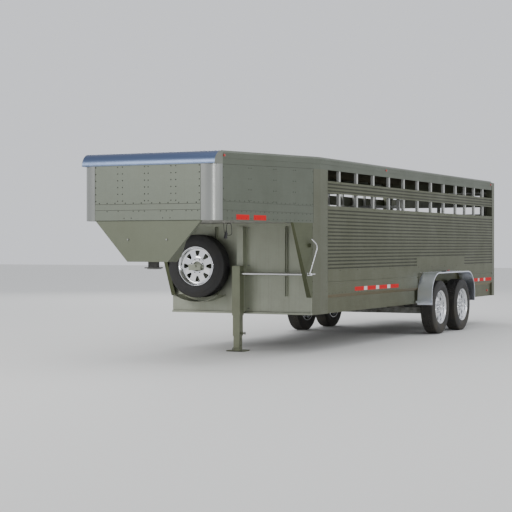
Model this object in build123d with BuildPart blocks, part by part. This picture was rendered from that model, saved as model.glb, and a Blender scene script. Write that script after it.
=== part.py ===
"""Gooseneck livestock trailer: aluminium stock body on two torsion axles. Millimetres, +X forward, +Z up."""
import os
from math import pi, radians, sqrt, tan

from build123d import *

os.makedirs("parts", exist_ok=True)

# ---- driving dimensions ----
box_length = 7462  # rear end to bulkhead
nose_length = 2237  # bulkhead to the front of the nose
body_width = 1921  # outside the straight side walls
bend_to_bulkhead = 215  # where the walls start to taper, behind the bulkhead
nose_taper = 0.0563  # inward run of each nose wall, per unit of length
nose_drop = 0.0244  # fall of the nose roof, per unit of length
roof_height = 2334
sill_bottom = 447
skirt_top = 633
rub_bottom = 674
rub_top = 834
rib_start = 986  # lower edge of the first rib groove
rib_pitch = 44.1
rib_count = 17
rib_groove = 16
rib_depth = 6
lower_vent_bottom = 1755
mid_rail_bottom = 1907
mid_rail_top = 2055
top_rail_bottom = 2187
sheet = 3
fit_gap = 0.3  # between pieces on different bodies
running_gap = 0.05  # radial, shaft in bore

skirt_inset = 25
floor_half_width = 900
crossmember_height = 60
crossmember_pitch = 400
plank_depth = 38
post_depth = 36
post_width = 45
corner_post_back = 221
corner_post_front = 187
rear_post_length = 153

wheel_panel_front = 3412  # behind the bend
wheel_panel_rear = 5608
wheel_panel_top = 1110
well_front = 3452
well_rear = 5432
well_top = 880
well_depth = 52

nose_bottom = 1539
nose_rail_low = 1652
nose_rail_high = 1716
cap_bottom = 2134
cap_depth = 167
nose_corner_radius = 168
front_panel_half = 654

tyre_diameter = 767
tyre_width = 205
rim_diameter = 445
rim_lip_diameter = 478
wheel_centre_y = 1054
front_axle = 3931  # behind the bend
axle_spacing = 1008
arm_length = 150
beam_size = 90
beam_drop = 45  # beam centre below the wheel centre
stud_circle = 165.1
stud_count = 8
hand_holes = 8

fender_outer_y = 1177
fender_top = 888
fender_bottom = 431
fender_front = 3445
fender_rear = 5467
fender_radius = 330

jack_x_ahead = 132.5  # jack centre ahead of the bulkhead
jack_y = 26
jack_outer = 105
jack_wall = 6
jack_top = 1027
jack_outer_bottom = 431
jack_inner_bottom = 185
jack_inner_top = 670
leg_top = 400
foot_size = 220
shaft_radius = 18
shaft_z = 934

coupler_x_back = 150  # coupler centre behind the nose front
coupler_radius = 61
coupler_bottom = 1016
neck_bottom = 1096
neck_bottom_half = 250
neck_depth = 205
ball_radius = 29.7  # socket for a 58.7 mm ball

spare_y = -505
spare_z = 1022
spare_ahead = 129

gate_gap = 4
gate_depth = 40
gate_inset = 12  # gate face ahead of the rear frame, so it folds back over the lamps
gate_stand_off = 16  # rear frame ahead of the rearmost point
gate_hinge_radius = 9

# ---- places worked out from them ----
front_x = (box_length + nose_length) / 2
rear_x = -front_x
bulkhead_x = rear_x + box_length
bend_x = bulkhead_x - bend_to_bulkhead
half_width = body_width / 2
wheel_z = tyre_diameter / 2
nose_face = front_x - 4  # the cap's lip stands just proud of the nose's front
frame_rear_x = rear_x + gate_stand_off
rear_post_front = frame_rear_x + rear_post_length - gate_stand_off
corner_rear_x = bend_x - corner_post_back
corner_front_x = bend_x + corner_post_front
nose_side_end = front_x - cap_depth
side_inner = half_width - rib_depth - sheet  # back of the ribbed sheet
post_inner = side_inner - post_depth
floor_top = sill_bottom + crossmember_height + plank_depth
jack_x = bulkhead_x + jack_x_ahead
coupler_x = front_x - coupler_x_back


def wall_y(x):
    """Outer face of the left wall at a station along the trailer."""
    return half_width - max(0, x - bend_x) * nose_taper


def nose_rail_z(x):
    """Underside of the nose's top rail at a station."""
    return top_rail_bottom - (x - bend_x) * nose_drop


def block(x, y, z, mode=Mode.ADD):
    """A box from three (low, high) pairs."""
    with Locations(((x[0] + x[1]) / 2, (y[0] + y[1]) / 2, (z[0] + z[1]) / 2)):
        Box(x[1] - x[0], y[1] - y[0], z[1] - z[0], mode=mode)


def outline(*points):
    """A filled polygon at its own coordinates, in the sketch being made."""
    Polygon(*points, align=None)


def run_x(x_low, x_high, *points, mode=Mode.ADD):
    """A profile of (y, z) points, extruded along the trailer."""
    with BuildSketch(Plane.YZ.offset(x_low)) as profile:
        outline(*points)
    extrude(profile.sketch, amount=x_high - x_low, mode=mode)


def run_y(y_low, y_high, *points, mode=Mode.ADD):
    """A profile of (x, z) points, extruded across the trailer."""
    with BuildSketch(Plane.XZ.offset(-y_high)) as profile:
        outline(*points)
    extrude(profile.sketch, amount=y_high - y_low, mode=mode)


def run_z(z_low, z_high, *points, mode=Mode.ADD):
    """A plan of (x, y) points, extruded upwards."""
    with BuildSketch(Plane.XY.offset(z_low)) as profile:
        outline(*points)
    extrude(profile.sketch, amount=z_high - z_low, mode=mode)


def rod(start, end, radius, mode=Mode.ADD):
    """A round bar between two points."""
    way = Vector(*end) - Vector(*start)
    with BuildSketch(Plane(origin=start, z_dir=way)) as profile:
        Circle(radius)
    extrude(profile.sketch, amount=way.length, mode=mode)


def ring(start, end, outer, inner):
    """A round tube between two points."""
    way = Vector(*end) - Vector(*start)
    with BuildSketch(Plane(origin=start, z_dir=way)) as profile:
        Circle(outer)
        Circle(inner, mode=Mode.SUBTRACT)
    extrude(profile.sketch, amount=way.length)


def square_tube(x, y, z, wall):
    """A vertical square tube: its (low, high) in x and y, its z range and its wall."""
    block(x, y, z)
    block((x[0] + wall, x[1] - wall), (y[0] + wall, y[1] - wall), z, mode=Mode.SUBTRACT)


def keep(builder, name):
    """Label a finished piece and write it."""
    builder.part.label = name
    export_step(builder.part, f"parts/{name}.step")


# ---- floor ----
floor_front = bulkhead_x - sheet
crossmember_count = int((floor_front - rear_post_front - 80) // crossmember_pitch) + 1
flange, web = 50, 6
subframe_y = 620
subframe_size = 60
axle_stations = [bend_x - front_axle, bend_x - front_axle - axle_spacing]
subframe_ends = (axle_stations[1] - 650, axle_stations[0] + 750)
with BuildPart() as floor_frame:
    for i in range(crossmember_count):
        station = rear_post_front + 20 + i * crossmember_pitch
        run_y(
            -floor_half_width, floor_half_width,
            (station, sill_bottom), (station + flange, sill_bottom), (station + flange, sill_bottom + web),
            (station + (flange + web) / 2, sill_bottom + web),
            (station + (flange + web) / 2, sill_bottom + crossmember_height - web),
            (station + flange, sill_bottom + crossmember_height - web),
            (station + flange, sill_bottom + crossmember_height), (station, sill_bottom + crossmember_height),
            (station, sill_bottom + crossmember_height - web),
            (station + (flange - web) / 2, sill_bottom + crossmember_height - web),
            (station + (flange - web) / 2, sill_bottom + web), (station, sill_bottom + web),
        )
    for side in (1, -1):
        y_span = (side * subframe_y - subframe_size / 2, side * subframe_y + subframe_size / 2)
        z_span = (sill_bottom - subframe_size, sill_bottom)
        block(subframe_ends, y_span, z_span)
        block(
            subframe_ends, (y_span[0] + 5, y_span[1] - 5),
            (z_span[0] + 5, z_span[1] - 5), mode=Mode.SUBTRACT,
        )
keep(floor_frame, "floor_frame")

plank_pitch = 100
plank_count = int(2 * floor_half_width / plank_pitch)
plank_top = 5
with BuildPart() as floor_planks:
    with BuildSketch(Plane.YZ.offset(rear_post_front)):
        with Locations((0, floor_top - plank_top / 2)):
            Rectangle(2 * floor_half_width, plank_top)
        leg_height = plank_depth - plank_top
        with Locations((0, floor_top - plank_top - leg_height / 2)):
            with GridLocations(plank_pitch, 0, plank_count, 1):
                Rectangle(5, leg_height)
        with Locations((0, floor_top + 2)):
            with GridLocations(plank_pitch / 2, 0, 2 * plank_count - 1, 1):
                Rectangle(12, 4)
    extrude(amount=floor_front - rear_post_front)
keep(floor_planks, "floor_planks")

# ---- side walls ----
skirt_y = half_width - skirt_inset
skirt_sections = [(rear_post_front, bend_x - well_rear - 60), (bend_x - well_front + 60, corner_rear_x)]
with BuildPart() as side_sills:
    for x_low, x_high in skirt_sections:
        run_x(
            x_low, x_high,
            (floor_half_width, sill_bottom), (skirt_y, sill_bottom), (skirt_y, skirt_top),
            (floor_half_width, skirt_top), (floor_half_width, skirt_top - 5), (skirt_y - 5, skirt_top - 5),
            (skirt_y - 5, sill_bottom + 5), (floor_half_width, sill_bottom + 5),
        )
    mirror(about=Plane.XZ)
keep(side_sills, "side_sills")

rub_sections = [(rear_post_front, bend_x - well_rear), (bend_x - well_front, corner_rear_x)]
with BuildPart() as rub_rails:
    for x_low, x_high in rub_sections:
        run_x(
            x_low, x_high,
            (skirt_y, skirt_top), (half_width, rub_bottom), (half_width, rub_top - 34),
            (half_width - 5, rub_top - 28), (half_width - 5, rub_top - 6), (half_width, rub_top),
            (side_inner, rub_top), (side_inner, rub_bottom + 3), (skirt_y - 5, skirt_top),
        )
    mirror(about=Plane.XZ)
keep(rub_rails, "rub_rails")


def rib_profile(inset):
    """The wall sheet's line of (y, z) points, from its foot to its top, with a groove below each rib."""
    y = half_width - inset
    points = [(y, rub_top)]
    for i in range(rib_count):
        z = rib_start + i * rib_pitch
        points += [(y, z), (y - rib_depth, z + 3), (y - rib_depth, z + rib_groove), (y, z + rib_groove + 2)]
    return points + [(y, lower_vent_bottom)]


panel_x = (bend_x - wheel_panel_rear, bend_x - wheel_panel_front)
well_x = (bend_x - well_rear, bend_x - well_front)
well_back = half_width - well_depth
with BuildPart() as ribbed_sides:
    run_x(rear_post_front, corner_rear_x, *(rib_profile(0) + rib_profile(sheet)[::-1]))
    block(panel_x, (side_inner - 1, half_width + 1), (rub_top - 1, wheel_panel_top), mode=Mode.SUBTRACT)
    # plain sheet over the wheels, with the well's opening
    block(panel_x, (half_width - sheet, half_width), (rub_top, wheel_panel_top))
    block(well_x, (half_width - sheet - 1, half_width + 1), (rub_top - 1, well_top), mode=Mode.SUBTRACT)
    # the well: back, roof and ends
    block(well_x, (well_back - sheet, well_back), (sill_bottom, well_top))
    block(well_x, (well_back, half_width - sheet), (well_top - sheet, well_top))
    for x_end in well_x:
        inward = 1 if x_end == well_x[0] else -1
        ends = sorted((x_end, x_end + inward * sheet))
        block(ends, (well_back, skirt_y - 5), (sill_bottom, well_top - sheet))
        block(ends, (skirt_y - 5, half_width - sheet), (rub_bottom + 3, well_top - sheet))
    mirror(about=Plane.XZ)
keep(ribbed_sides, "ribbed_sides")

mid_groove_levels = (1935, 1976, 2019)
with BuildPart() as mid_rails:
    face = [(half_width, mid_rail_bottom)]
    for z in mid_groove_levels:
        face += [
            (half_width, z - 9), (half_width - rib_depth, z - 6),
            (half_width - rib_depth, z + 7), (half_width, z + 9),
        ]
    face += [(half_width, mid_rail_top), (side_inner, mid_rail_top), (side_inner, mid_rail_bottom)]
    run_x(rear_post_front, corner_rear_x, *face)
    mirror(about=Plane.XZ)
keep(mid_rails, "mid_rails")

rail_step = 2252
roof_edge = half_width - 70
roof_chamfer = 24
top_rail_profile = (
    (half_width - 4, top_rail_bottom), (half_width - 4, rail_step), (half_width, rail_step),
    (half_width, roof_height - roof_chamfer), (half_width - roof_chamfer, roof_height),
    (roof_edge, roof_height), (roof_edge, roof_height - 4),
    (half_width - roof_chamfer - 2, roof_height - 4), (half_width - 6, roof_height - roof_chamfer - 2),
    (half_width - 6, rail_step + 4), (side_inner, rail_step), (side_inner, top_rail_bottom),
)
nose_run = front_x - bend_x - cap_depth
with BuildPart() as top_rails:
    run_x(rear_post_front, bend_x, *top_rail_profile)
    with BuildSketch(Plane.YZ.offset(bend_x)):
        outline(*top_rail_profile)
    lean = Vector(nose_run, -nose_run * nose_taper, -nose_run * nose_drop)
    extrude(amount=lean.length, dir=lean)
    mirror(about=Plane.XZ)
keep(top_rails, "top_rails")

front_bay_posts = [bend_x - 613 - 576.4 * i for i in range(9)]
rear_bay_posts = [bend_x - 5691 - 469 * i for i in range(3)]
post_stations = front_bay_posts + rear_bay_posts
with BuildPart() as wall_posts:
    for station in post_stations:
        over_well = well_x[0] - post_width < station < well_x[1] + post_width
        foot = well_top if over_well else rub_bottom + 3
        block(
            (station - post_width / 2, station + post_width / 2),
            (post_inner, side_inner), (foot, top_rail_bottom)
        )
        block(
            (station - post_width / 2 + 3, station + post_width / 2 - 3), (post_inner + 3, side_inner - 3),
            (foot, top_rail_bottom), mode=Mode.SUBTRACT,
        )
    mirror(about=Plane.XZ)
keep(wall_posts, "wall_posts")

with BuildPart() as front_corner_posts:
    run_z(
        sill_bottom, top_rail_bottom,
        (corner_rear_x, half_width), (bend_x, half_width), (corner_front_x, wall_y(corner_front_x)),
        (bulkhead_x - sheet, wall_y(bulkhead_x - sheet)), (bulkhead_x - sheet, wall_y(bulkhead_x) - 40),
        (bulkhead_x - 8, wall_y(bulkhead_x) - 40), (bulkhead_x - 8, wall_y(bulkhead_x) - 4),
        (bend_x, half_width - 4), (corner_rear_x, half_width - 4),
    )
    # the nose's side sheets start here
    block(
        (corner_front_x - 0.25, bulkhead_x), (0, half_width),
        (nose_bottom, top_rail_bottom + 1), mode=Mode.SUBTRACT
    )
    for x_low in (corner_rear_x, bend_x - 100):
        block((x_low, x_low + 40), (post_inner, half_width - 4), (floor_top + 4, top_rail_bottom))
        block(
            (x_low + 3, x_low + 37), (post_inner + 3, half_width - 7), (floor_top + 4, top_rail_bottom),
            mode=Mode.SUBTRACT,
        )
    # follow the falling rail ahead of the bend
    run_y(
        0, half_width + 1,
        (bend_x, top_rail_bottom), (bulkhead_x + 10, nose_rail_z(bulkhead_x + 10)),
        (bulkhead_x + 10, top_rail_bottom + 1), (bend_x, top_rail_bottom + 1), mode=Mode.SUBTRACT,
    )
    mirror(about=Plane.XZ)
keep(front_corner_posts, "front_corner_posts")

# ---- rear frame, with the gate's hinge pins ----
opening_half = 860
header_bottom = 2150
hinge_y = -opening_half - 12
hinge_x = frame_rear_x
hinge_levels = (725, 1300, 1980)
hinge_height = 90
lug_height = 30
bolt_z = 1250
bolt_x = frame_rear_x + gate_inset + gate_depth / 2
with BuildPart() as rear_frame:
    for side in (1, -1):
        y_span = sorted((side * opening_half, side * half_width))
        block((frame_rear_x, rear_post_front), y_span, (sill_bottom, roof_height - roof_chamfer))
        block(
            (frame_rear_x + 4, rear_post_front - 4), (y_span[0] + 4, y_span[1] - 4),
            (sill_bottom, roof_height - roof_chamfer), mode=Mode.SUBTRACT,
        )
    block(
        (frame_rear_x, frame_rear_x + 60), (-opening_half, opening_half),
        (header_bottom, roof_height - roof_chamfer),
    )
    block((frame_rear_x, rear_post_front), (-opening_half, opening_half), (floor_top - 8, floor_top))
    block((frame_rear_x, frame_rear_x + 60), (-opening_half, opening_half), (sill_bottom, floor_top - 8))
    # room for the hinges
    for z in hinge_levels:
        reach = hinge_height / 2 + lug_height + 1
        rod((hinge_x, hinge_y, z - reach), (hinge_x, hinge_y, z + reach), 15.5, mode=Mode.SUBTRACT)
    # strike for the gate's bolt
    block(
        (bolt_x - 12, bolt_x + 12), (opening_half - 1, opening_half + 60), (bolt_z - 12, bolt_z + 12),
        mode=Mode.SUBTRACT,
    )
keep(rear_frame, "rear_frame")

# ---- roof ----
nose_roof_far = front_x - cap_depth - 20
with BuildPart() as roof_skin:
    block((frame_rear_x, bend_x), (-roof_edge, roof_edge), (roof_height - 4, roof_height - 1))
    with BuildSketch(
        Plane(origin=(bend_x, 0, roof_height - 4), x_dir=(1, 0, -nose_drop), z_dir=(nose_drop, 0, 1)),
    ):
        far = nose_roof_far - bend_x
        near, far_edge = roof_edge - 0.5, roof_edge - 0.5 - far * nose_taper
        outline((0, -near), (far, -far_edge), (far, far_edge), (0, near))
    extrude(amount=3)
keep(roof_skin, "roof_skin")

bow_pitch = 600
bow_size = 40
bow_count = int((bend_x - frame_rear_x - 400) // bow_pitch)
with BuildPart() as roof_bows:
    for i in range(bow_count):
        station = frame_rear_x + 400 + i * bow_pitch
        run_y(
            -roof_edge, roof_edge,
            (station, roof_height - 4), (station, roof_height - 4 - bow_size),
            (station + 3, roof_height - 4 - bow_size),
            (station + 3, roof_height - 7), (station + bow_size, roof_height - 7),
            (station + bow_size, roof_height - 4),
        )
keep(roof_bows, "roof_bows")

# ---- bulkhead, with the jack's post ----
deck_bottom = 1500
bulk_half = wall_y(bulkhead_x) - 2
post_size = 84
channel_y = (-330, 614)
channel_foot = (660, 664)
with BuildPart() as bulkhead:
    block((bulkhead_x - sheet, bulkhead_x), (-bulk_half, bulk_half), (sill_bottom, nose_bottom))
    block((bulkhead_x, bulkhead_x + 22), (-bulk_half, bulk_half), (sill_bottom, sill_bottom + 26))
    block((bulkhead_x, bulkhead_x + 40), (5 - bulk_half, bulk_half - 5), (deck_bottom, nose_bottom))
    for y, foot in zip(channel_y, channel_foot):
        for edge in (y - 15, y + 12):
            block((bulkhead_x, bulkhead_x + 24), (edge, edge + 3), (foot, deck_bottom))
    square_tube(
        (bulkhead_x, jack_x - jack_outer / 2), (jack_y - post_size / 2, jack_y + post_size / 2),
        (sill_bottom + 26, deck_bottom), 5,
    )
keep(bulkhead, "bulkhead")

# ---- nose ----
side_length = nose_side_end - corner_front_x
side_origin = (corner_front_x, wall_y(corner_front_x), 0)
nose_side_plane = Plane(origin=side_origin, x_dir=(1, -nose_taper, 0), z_dir=(-nose_taper, -1, 0))
slant = sqrt(1 + nose_taper**2)
side_run = side_length * slant


with BuildPart() as nose_sides:
    with BuildSketch(nose_side_plane):
        outline(
            (0, nose_bottom), (side_run, nose_bottom),
            (side_run, nose_rail_z(nose_side_end)), (0, nose_rail_z(corner_front_x)),
        )
    extrude(amount=4)
    # lower rails, a little proud inside
    for z_low, z_high in ((nose_bottom, nose_rail_low + 11), (nose_rail_low + 13, nose_rail_high + 24)):
        with BuildSketch(nose_side_plane.offset(4)):
            outline((0, z_low), (side_run, z_low), (side_run, z_high), (0, z_high))
        extrude(amount=20)
    # hat-section posts behind the rivet columns
    for station in (680, 1140, 1706):
        with BuildSketch(nose_side_plane.offset(4)):
            near = (station - corner_post_front) * slant
            high = nose_rail_z(bend_x + station) - 2
            foot = nose_rail_high + 26
            outline((near - 40, foot), (near + 40, foot), (near + 40, high), (near - 40, high))
        extrude(amount=24)
    mirror(about=Plane.XZ)
keep(nose_sides, "nose_sides")

with BuildPart() as nose_front_panel:
    block((nose_face - 5, nose_face - 2), (-front_panel_half, front_panel_half), (nose_rail_high, cap_bottom))
    for z_low, z_high in ((nose_bottom, nose_rail_low - 1), (nose_rail_low + 1, nose_rail_high)):
        block((nose_face - 5, nose_face), (-front_panel_half, front_panel_half), (z_low, z_high))
    for y in (-336, -6, 324):
        block((nose_face - 29, nose_face - 5), (y - 45, y + 45), (nose_bottom, cap_bottom))
        block(
            (nose_face - 26, nose_face - 5), (y - 42, y + 42), (nose_bottom, cap_bottom), mode=Mode.SUBTRACT,
        )
keep(nose_front_panel, "nose_front_panel")


def corner_line(inset):
    """Plan line of a rounded nose corner: from the front panel's edge, round, to the side panel's end."""
    corner_y = wall_y(front_x) - inset
    return FilletPolyline(
        (nose_face - 1 - inset, front_panel_half), (nose_face - 1 - inset, corner_y + inset * nose_taper),
        (nose_side_end, wall_y(nose_side_end) - inset * slant), radius=nose_corner_radius - 22 - inset,
    )


with BuildPart() as nose_corner_posts:
    with BuildSketch(Plane.XY.offset(nose_bottom)):
        with BuildLine():
            outer_line = corner_line(0)
            inner_line = corner_line(5)
            Line(outer_line @ 0, inner_line @ 0)
            Line(outer_line @ 1, inner_line @ 1)
        make_face()
    extrude(amount=cap_bottom - nose_bottom)
    mirror(about=Plane.XZ)
keep(nose_corner_posts, "nose_corner_posts")

# rounded roof cap: a bent sheet with closed ends, on a short band that covers the corner posts' tops
cap_top = roof_height - (nose_side_end - bend_x) * nose_drop


with BuildPart() as nose_cap:
    for inset, half_span, mode in ((0, half_width, Mode.ADD), (sheet, wall_y(front_x) - 4, Mode.SUBTRACT)):
        with BuildSketch(Plane.XZ.offset(-half_span)):
            with BuildLine():
                reach = cap_depth - inset
                rise = cap_top - cap_bottom - inset
                Line((nose_side_end, cap_bottom), (nose_side_end + reach, cap_bottom))
                EllipticalCenterArc((nose_side_end, cap_bottom), reach, rise, start_angle=0, arc_size=90)
                Line((nose_side_end, cap_bottom + rise), (nose_side_end, cap_bottom))
            make_face()
        extrude(amount=2 * half_span, mode=mode)
    # ends flush with the tapered walls
    for side in (1, -1):
        run_z(
            cap_bottom - 1, cap_top + 1,
            (nose_side_end - 1, side * wall_y(nose_side_end)), (front_x + 1, side * wall_y(front_x)),
            (front_x + 1, side * (half_width + 5)),
            (nose_side_end - 1, side * (half_width + 5)), mode=Mode.SUBTRACT,
        )
keep(nose_cap, "nose_cap")

# ---- nose deck, with the gland and the hook of the light cord ----
deck_beam = 100
deck_beam_pitch = 420
deck_inset = 26
deck_z = nose_bottom + 3 + deck_beam
cord_x = bend_x + 2000
hook_y, hook_z = 762, 1500
gland_y = 695
with BuildPart() as nose_deck:
    deck_plan = [
        (bulkhead_x + 1, wall_y(bulkhead_x) - deck_inset),
        (nose_side_end - 5, wall_y(nose_side_end) - deck_inset),
        (nose_face - 32, front_panel_half - 20), (nose_face - 32, -front_panel_half + 20),
        (nose_side_end - 5, -wall_y(nose_side_end) + deck_inset),
        (bulkhead_x + 1, -wall_y(bulkhead_x) + deck_inset),
    ]
    run_z(nose_bottom, nose_bottom + 3, *deck_plan)
    run_z(deck_z, deck_z + 5, *deck_plan)
    for i in range(int((nose_side_end - bulkhead_x) // deck_beam_pitch) + 1):
        station = bulkhead_x + 60 + i * deck_beam_pitch
        half = wall_y(station + 50) - deck_inset
        block((station, station + 50), (-half, half), (nose_bottom + 3, deck_z))
        block(
            (station + 5, station + 51), (-half - 1, half + 1),
            (nose_bottom + 9, deck_z - 6), mode=Mode.SUBTRACT,
        )
    rod((cord_x, gland_y, nose_bottom), (cord_x, gland_y, 1516), 11)
    rod((cord_x - 34, hook_y, nose_bottom), (cord_x - 34, hook_y, hook_z - 4), 4)
    rod((cord_x - 38, hook_y, hook_z), (cord_x + 32, hook_y, hook_z), 4)
keep(nose_deck, "nose_deck")

# ---- gooseneck: folded front plate, coupler box and outer coupler tube ----
neck_face = nose_face - 10
neck_slope = (front_panel_half - neck_bottom_half) / (nose_bottom - neck_bottom)
fold_depth = 40
box_top = 1320
sleeve_radius = coupler_radius + running_gap


def neck_half(z):
    """Half width of the folded front plate at a height."""
    return neck_bottom_half + (z - neck_bottom) * neck_slope


def neck_section(z_low, z_high, inset):
    """The plate's outline between two heights, pulled in by an inset at its slanted edges."""
    low, high = neck_half(z_low) - inset, neck_half(z_high) - inset
    return (-low, z_low), (low, z_low), (high, z_high), (-high, z_high)


with BuildPart() as gooseneck_frame:
    run_x(neck_face - fold_depth, neck_face, *neck_section(neck_bottom, nose_bottom, 0))
    run_x(
        neck_face - fold_depth - 1, neck_face - 6,
        *neck_section(neck_bottom + 5, nose_bottom + 1, 7), mode=Mode.SUBTRACT,
    )
    run_x(neck_face - neck_depth, neck_face - fold_depth, *neck_section(neck_bottom, box_top, 0))
    run_x(
        neck_face - neck_depth - 1, neck_face - fold_depth + 1,
        *neck_section(neck_bottom + 5, box_top + 1, 7),
        mode=Mode.SUBTRACT,
    )
    run_y(
        -front_panel_half, front_panel_half,
        (neck_face - neck_depth - 1, neck_bottom + 60), (neck_face - fold_depth, box_top),
        (neck_face - fold_depth, box_top + 2), (neck_face - neck_depth - 1, box_top + 2), mode=Mode.SUBTRACT,
    )
    ring((coupler_x, 0, neck_bottom + 2), (coupler_x, 0, nose_bottom), sleeve_radius + 8, sleeve_radius)
    rod((coupler_x, 0, neck_bottom - 1), (coupler_x, 0, neck_bottom + 6), sleeve_radius, mode=Mode.SUBTRACT)
    for side in (1, -1):  # struts from the sleeve to the front plate
        y_span = sorted((side * 8, side * 20))
        block((coupler_x + sleeve_radius + 6, neck_face - 3), y_span, (neck_bottom + 4, nose_bottom - 40))
keep(gooseneck_frame, "gooseneck_frame")

bolt_head = 9.5
with BuildPart() as neck_bolts:
    for y in (-240, 240):
        with BuildSketch(Plane.YZ.offset(neck_face)):
            with Locations((y, 1336)):
                RegularPolygon(11, 6)
        extrude(amount=bolt_head)
        with BuildSketch(Plane.YZ.offset(neck_face - 6)):
            with Locations((y, 1336)):
                Circle(17)
                Circle(10, mode=Mode.SUBTRACT)
        extrude(amount=-4)
keep(neck_bolts, "neck_bolts")

socket_z = coupler_bottom + 10
with BuildPart() as coupler_socket:
    rod((coupler_x, 0, socket_z), (coupler_x, 0, nose_bottom - 90), coupler_radius)
    rod(
        (coupler_x, 0, socket_z + 50), (coupler_x, 0, nose_bottom - 89),
        coupler_radius - 9, mode=Mode.SUBTRACT,
    )
    rod((coupler_x, 0, socket_z), (coupler_x, 0, socket_z + 12), 100)
    rod((coupler_x, 0, socket_z - 1), (coupler_x, 0, socket_z + 51), ball_radius, mode=Mode.SUBTRACT)
keep(coupler_socket, "coupler_socket")

lock_travel = 40
with BuildPart() as coupler_lock:
    plate_top = socket_z - fit_gap
    block((coupler_x - 90, coupler_x + 60), (-45, 45), (coupler_bottom, plate_top))
    rod(
        (coupler_x, 0, coupler_bottom - 1), (coupler_x, 0, plate_top + 1),
        ball_radius + 2, mode=Mode.SUBTRACT,
    )
    with BuildSketch(Plane.XY.offset(coupler_bottom - 1)):
        with Locations((coupler_x - lock_travel / 2, 0)):
            SlotCenterToCenter(lock_travel, 38)
    extrude(amount=12, mode=Mode.SUBTRACT)
    rod((coupler_x - 84, 0, coupler_bottom + 5), (coupler_x - 121, 0, coupler_bottom + 5), 3.5)
    rod((coupler_x - 121, -28, coupler_bottom + 5), (coupler_x - 121, 28, coupler_bottom + 5), 4.5)
keep(coupler_lock, "coupler_lock")

# ---- gussets under the nose, with the crank shaft's outer bearing ----
gusset_foot = (bend_x + 250, 655)
gusset_top_x = bend_x + 700
gusset_flange = 33
with BuildPart() as gussets:
    with BuildSketch(
        Plane(
            origin=(bulkhead_x, wall_y(bulkhead_x), 0), x_dir=(1, -nose_taper, 0),
            z_dir=(-nose_taper, -1, 0),
        ),
    ):
        outline(
            (0, gusset_foot[1]), ((gusset_foot[0] - bulkhead_x) * slant, gusset_foot[1]),
            ((gusset_top_x - bulkhead_x) * slant, nose_bottom), (0, nose_bottom),
        )
    extrude(amount=4)
    with BuildSketch(Plane.XZ.offset(-wall_y(gusset_foot[0]))):
        outline(
            gusset_foot, (gusset_top_x, nose_bottom),
            (gusset_top_x - 6, nose_bottom), (gusset_foot[0] - 6, gusset_foot[1]),
        )
    extrude(amount=wall_y(gusset_foot[0]) - wall_y(gusset_top_x) + gusset_flange)
    run_z(  # trim the flange to the wall's taper, inside and out
        gusset_foot[1] - 1, nose_bottom + 1,
        (bulkhead_x - 1, wall_y(bulkhead_x - 1)), (gusset_top_x + 9, wall_y(gusset_top_x + 9)),
        (gusset_top_x + 9, half_width + 9), (bulkhead_x - 1, half_width + 9), mode=Mode.SUBTRACT,
    )
    block(
        (bulkhead_x - 2, bulkhead_x), (wall_y(bulkhead_x) - 9, half_width), (gusset_foot[1], nose_bottom),
        mode=Mode.SUBTRACT,
    )
    mirror(about=Plane.XZ)
    rod((jack_x, 880, shaft_z), (jack_x, half_width, shaft_z), shaft_radius + running_gap, mode=Mode.SUBTRACT)
    # rest for the stowed crank, short enough to clear the turning handle
    block((bend_x + 278, bend_x + 304), (wall_y(bend_x + 280) - 3, 972), (1252, 1296))
keep(gussets, "gussets")

# ---- drop-leg jack and its crank ----
jack_half = jack_outer / 2
inner_half = jack_half - jack_wall - 1
leg_half = inner_half - 6
screw_radius = 13.7
bearing_z = 885
pin_z = 218
pin_radius = 9
pin_travel = 18


def span(centre, half):
    """A (low, high) pair about a centre."""
    return centre - half, centre + half


with BuildPart() as jack_outer_tube:
    square_tube(span(jack_x, jack_half), span(jack_y, jack_half), (jack_outer_bottom, jack_top), jack_wall)
    block(span(jack_x, jack_half - 1), span(jack_y, jack_half - 1), (jack_top - 6, jack_top))
    block(span(jack_x, jack_half - 1), span(jack_y, jack_half - 1), (bearing_z - 10, bearing_z))
    rod(
        (jack_x, jack_y, bearing_z - 11), (jack_x, jack_y, bearing_z + 1),
        screw_radius + running_gap, mode=Mode.SUBTRACT,
    )
    ring(
        (jack_x, jack_y + jack_half - 1, shaft_z),
        (jack_x, jack_y + jack_half + 8, shaft_z), shaft_radius + 8, shaft_radius,
    )
    rod(
        (jack_x, jack_y, shaft_z), (jack_x, jack_y + jack_half + 9, shaft_z), shaft_radius + running_gap,
        mode=Mode.SUBTRACT,
    )
    rod((jack_x, jack_y - jack_half - 14, shaft_z), (jack_x, jack_y - jack_half + 1, shaft_z), 12)
keep(jack_outer_tube, "jack_outer_tube")

with BuildPart() as jack_screw:
    rod((jack_x, jack_y, 520), (jack_x, jack_y, bearing_z + fit_gap + 1), screw_radius)
    rod((jack_x, jack_y, bearing_z + fit_gap), (jack_x, jack_y, bearing_z + 18), 32)
    rod((jack_x, jack_y, bearing_z - 20), (jack_x, jack_y, bearing_z - 10 - fit_gap), 20)
keep(jack_screw, "jack_screw")

with BuildPart() as jack_inner_tube:
    square_tube(span(jack_x, inner_half), span(jack_y, inner_half), (jack_inner_bottom, jack_inner_top), 5)
    block(span(jack_x, inner_half - 1), span(jack_y, inner_half - 1), (jack_inner_top - 25, jack_inner_top))
    rod(
        (jack_x, jack_y, jack_inner_top - 26), (jack_x, jack_y, jack_inner_top + 1),
        screw_radius + fit_gap, mode=Mode.SUBTRACT,
    )
    ring(
        (jack_x, jack_y + inner_half - 1, pin_z),
        (jack_x, jack_y + inner_half + 26, pin_z), pin_radius + 6, pin_radius
    )
    rod(
        (jack_x, jack_y, pin_z), (jack_x, jack_y + inner_half + 27, pin_z),
        pin_radius + running_gap, mode=Mode.SUBTRACT
    )
keep(jack_inner_tube, "jack_inner_tube")

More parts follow.
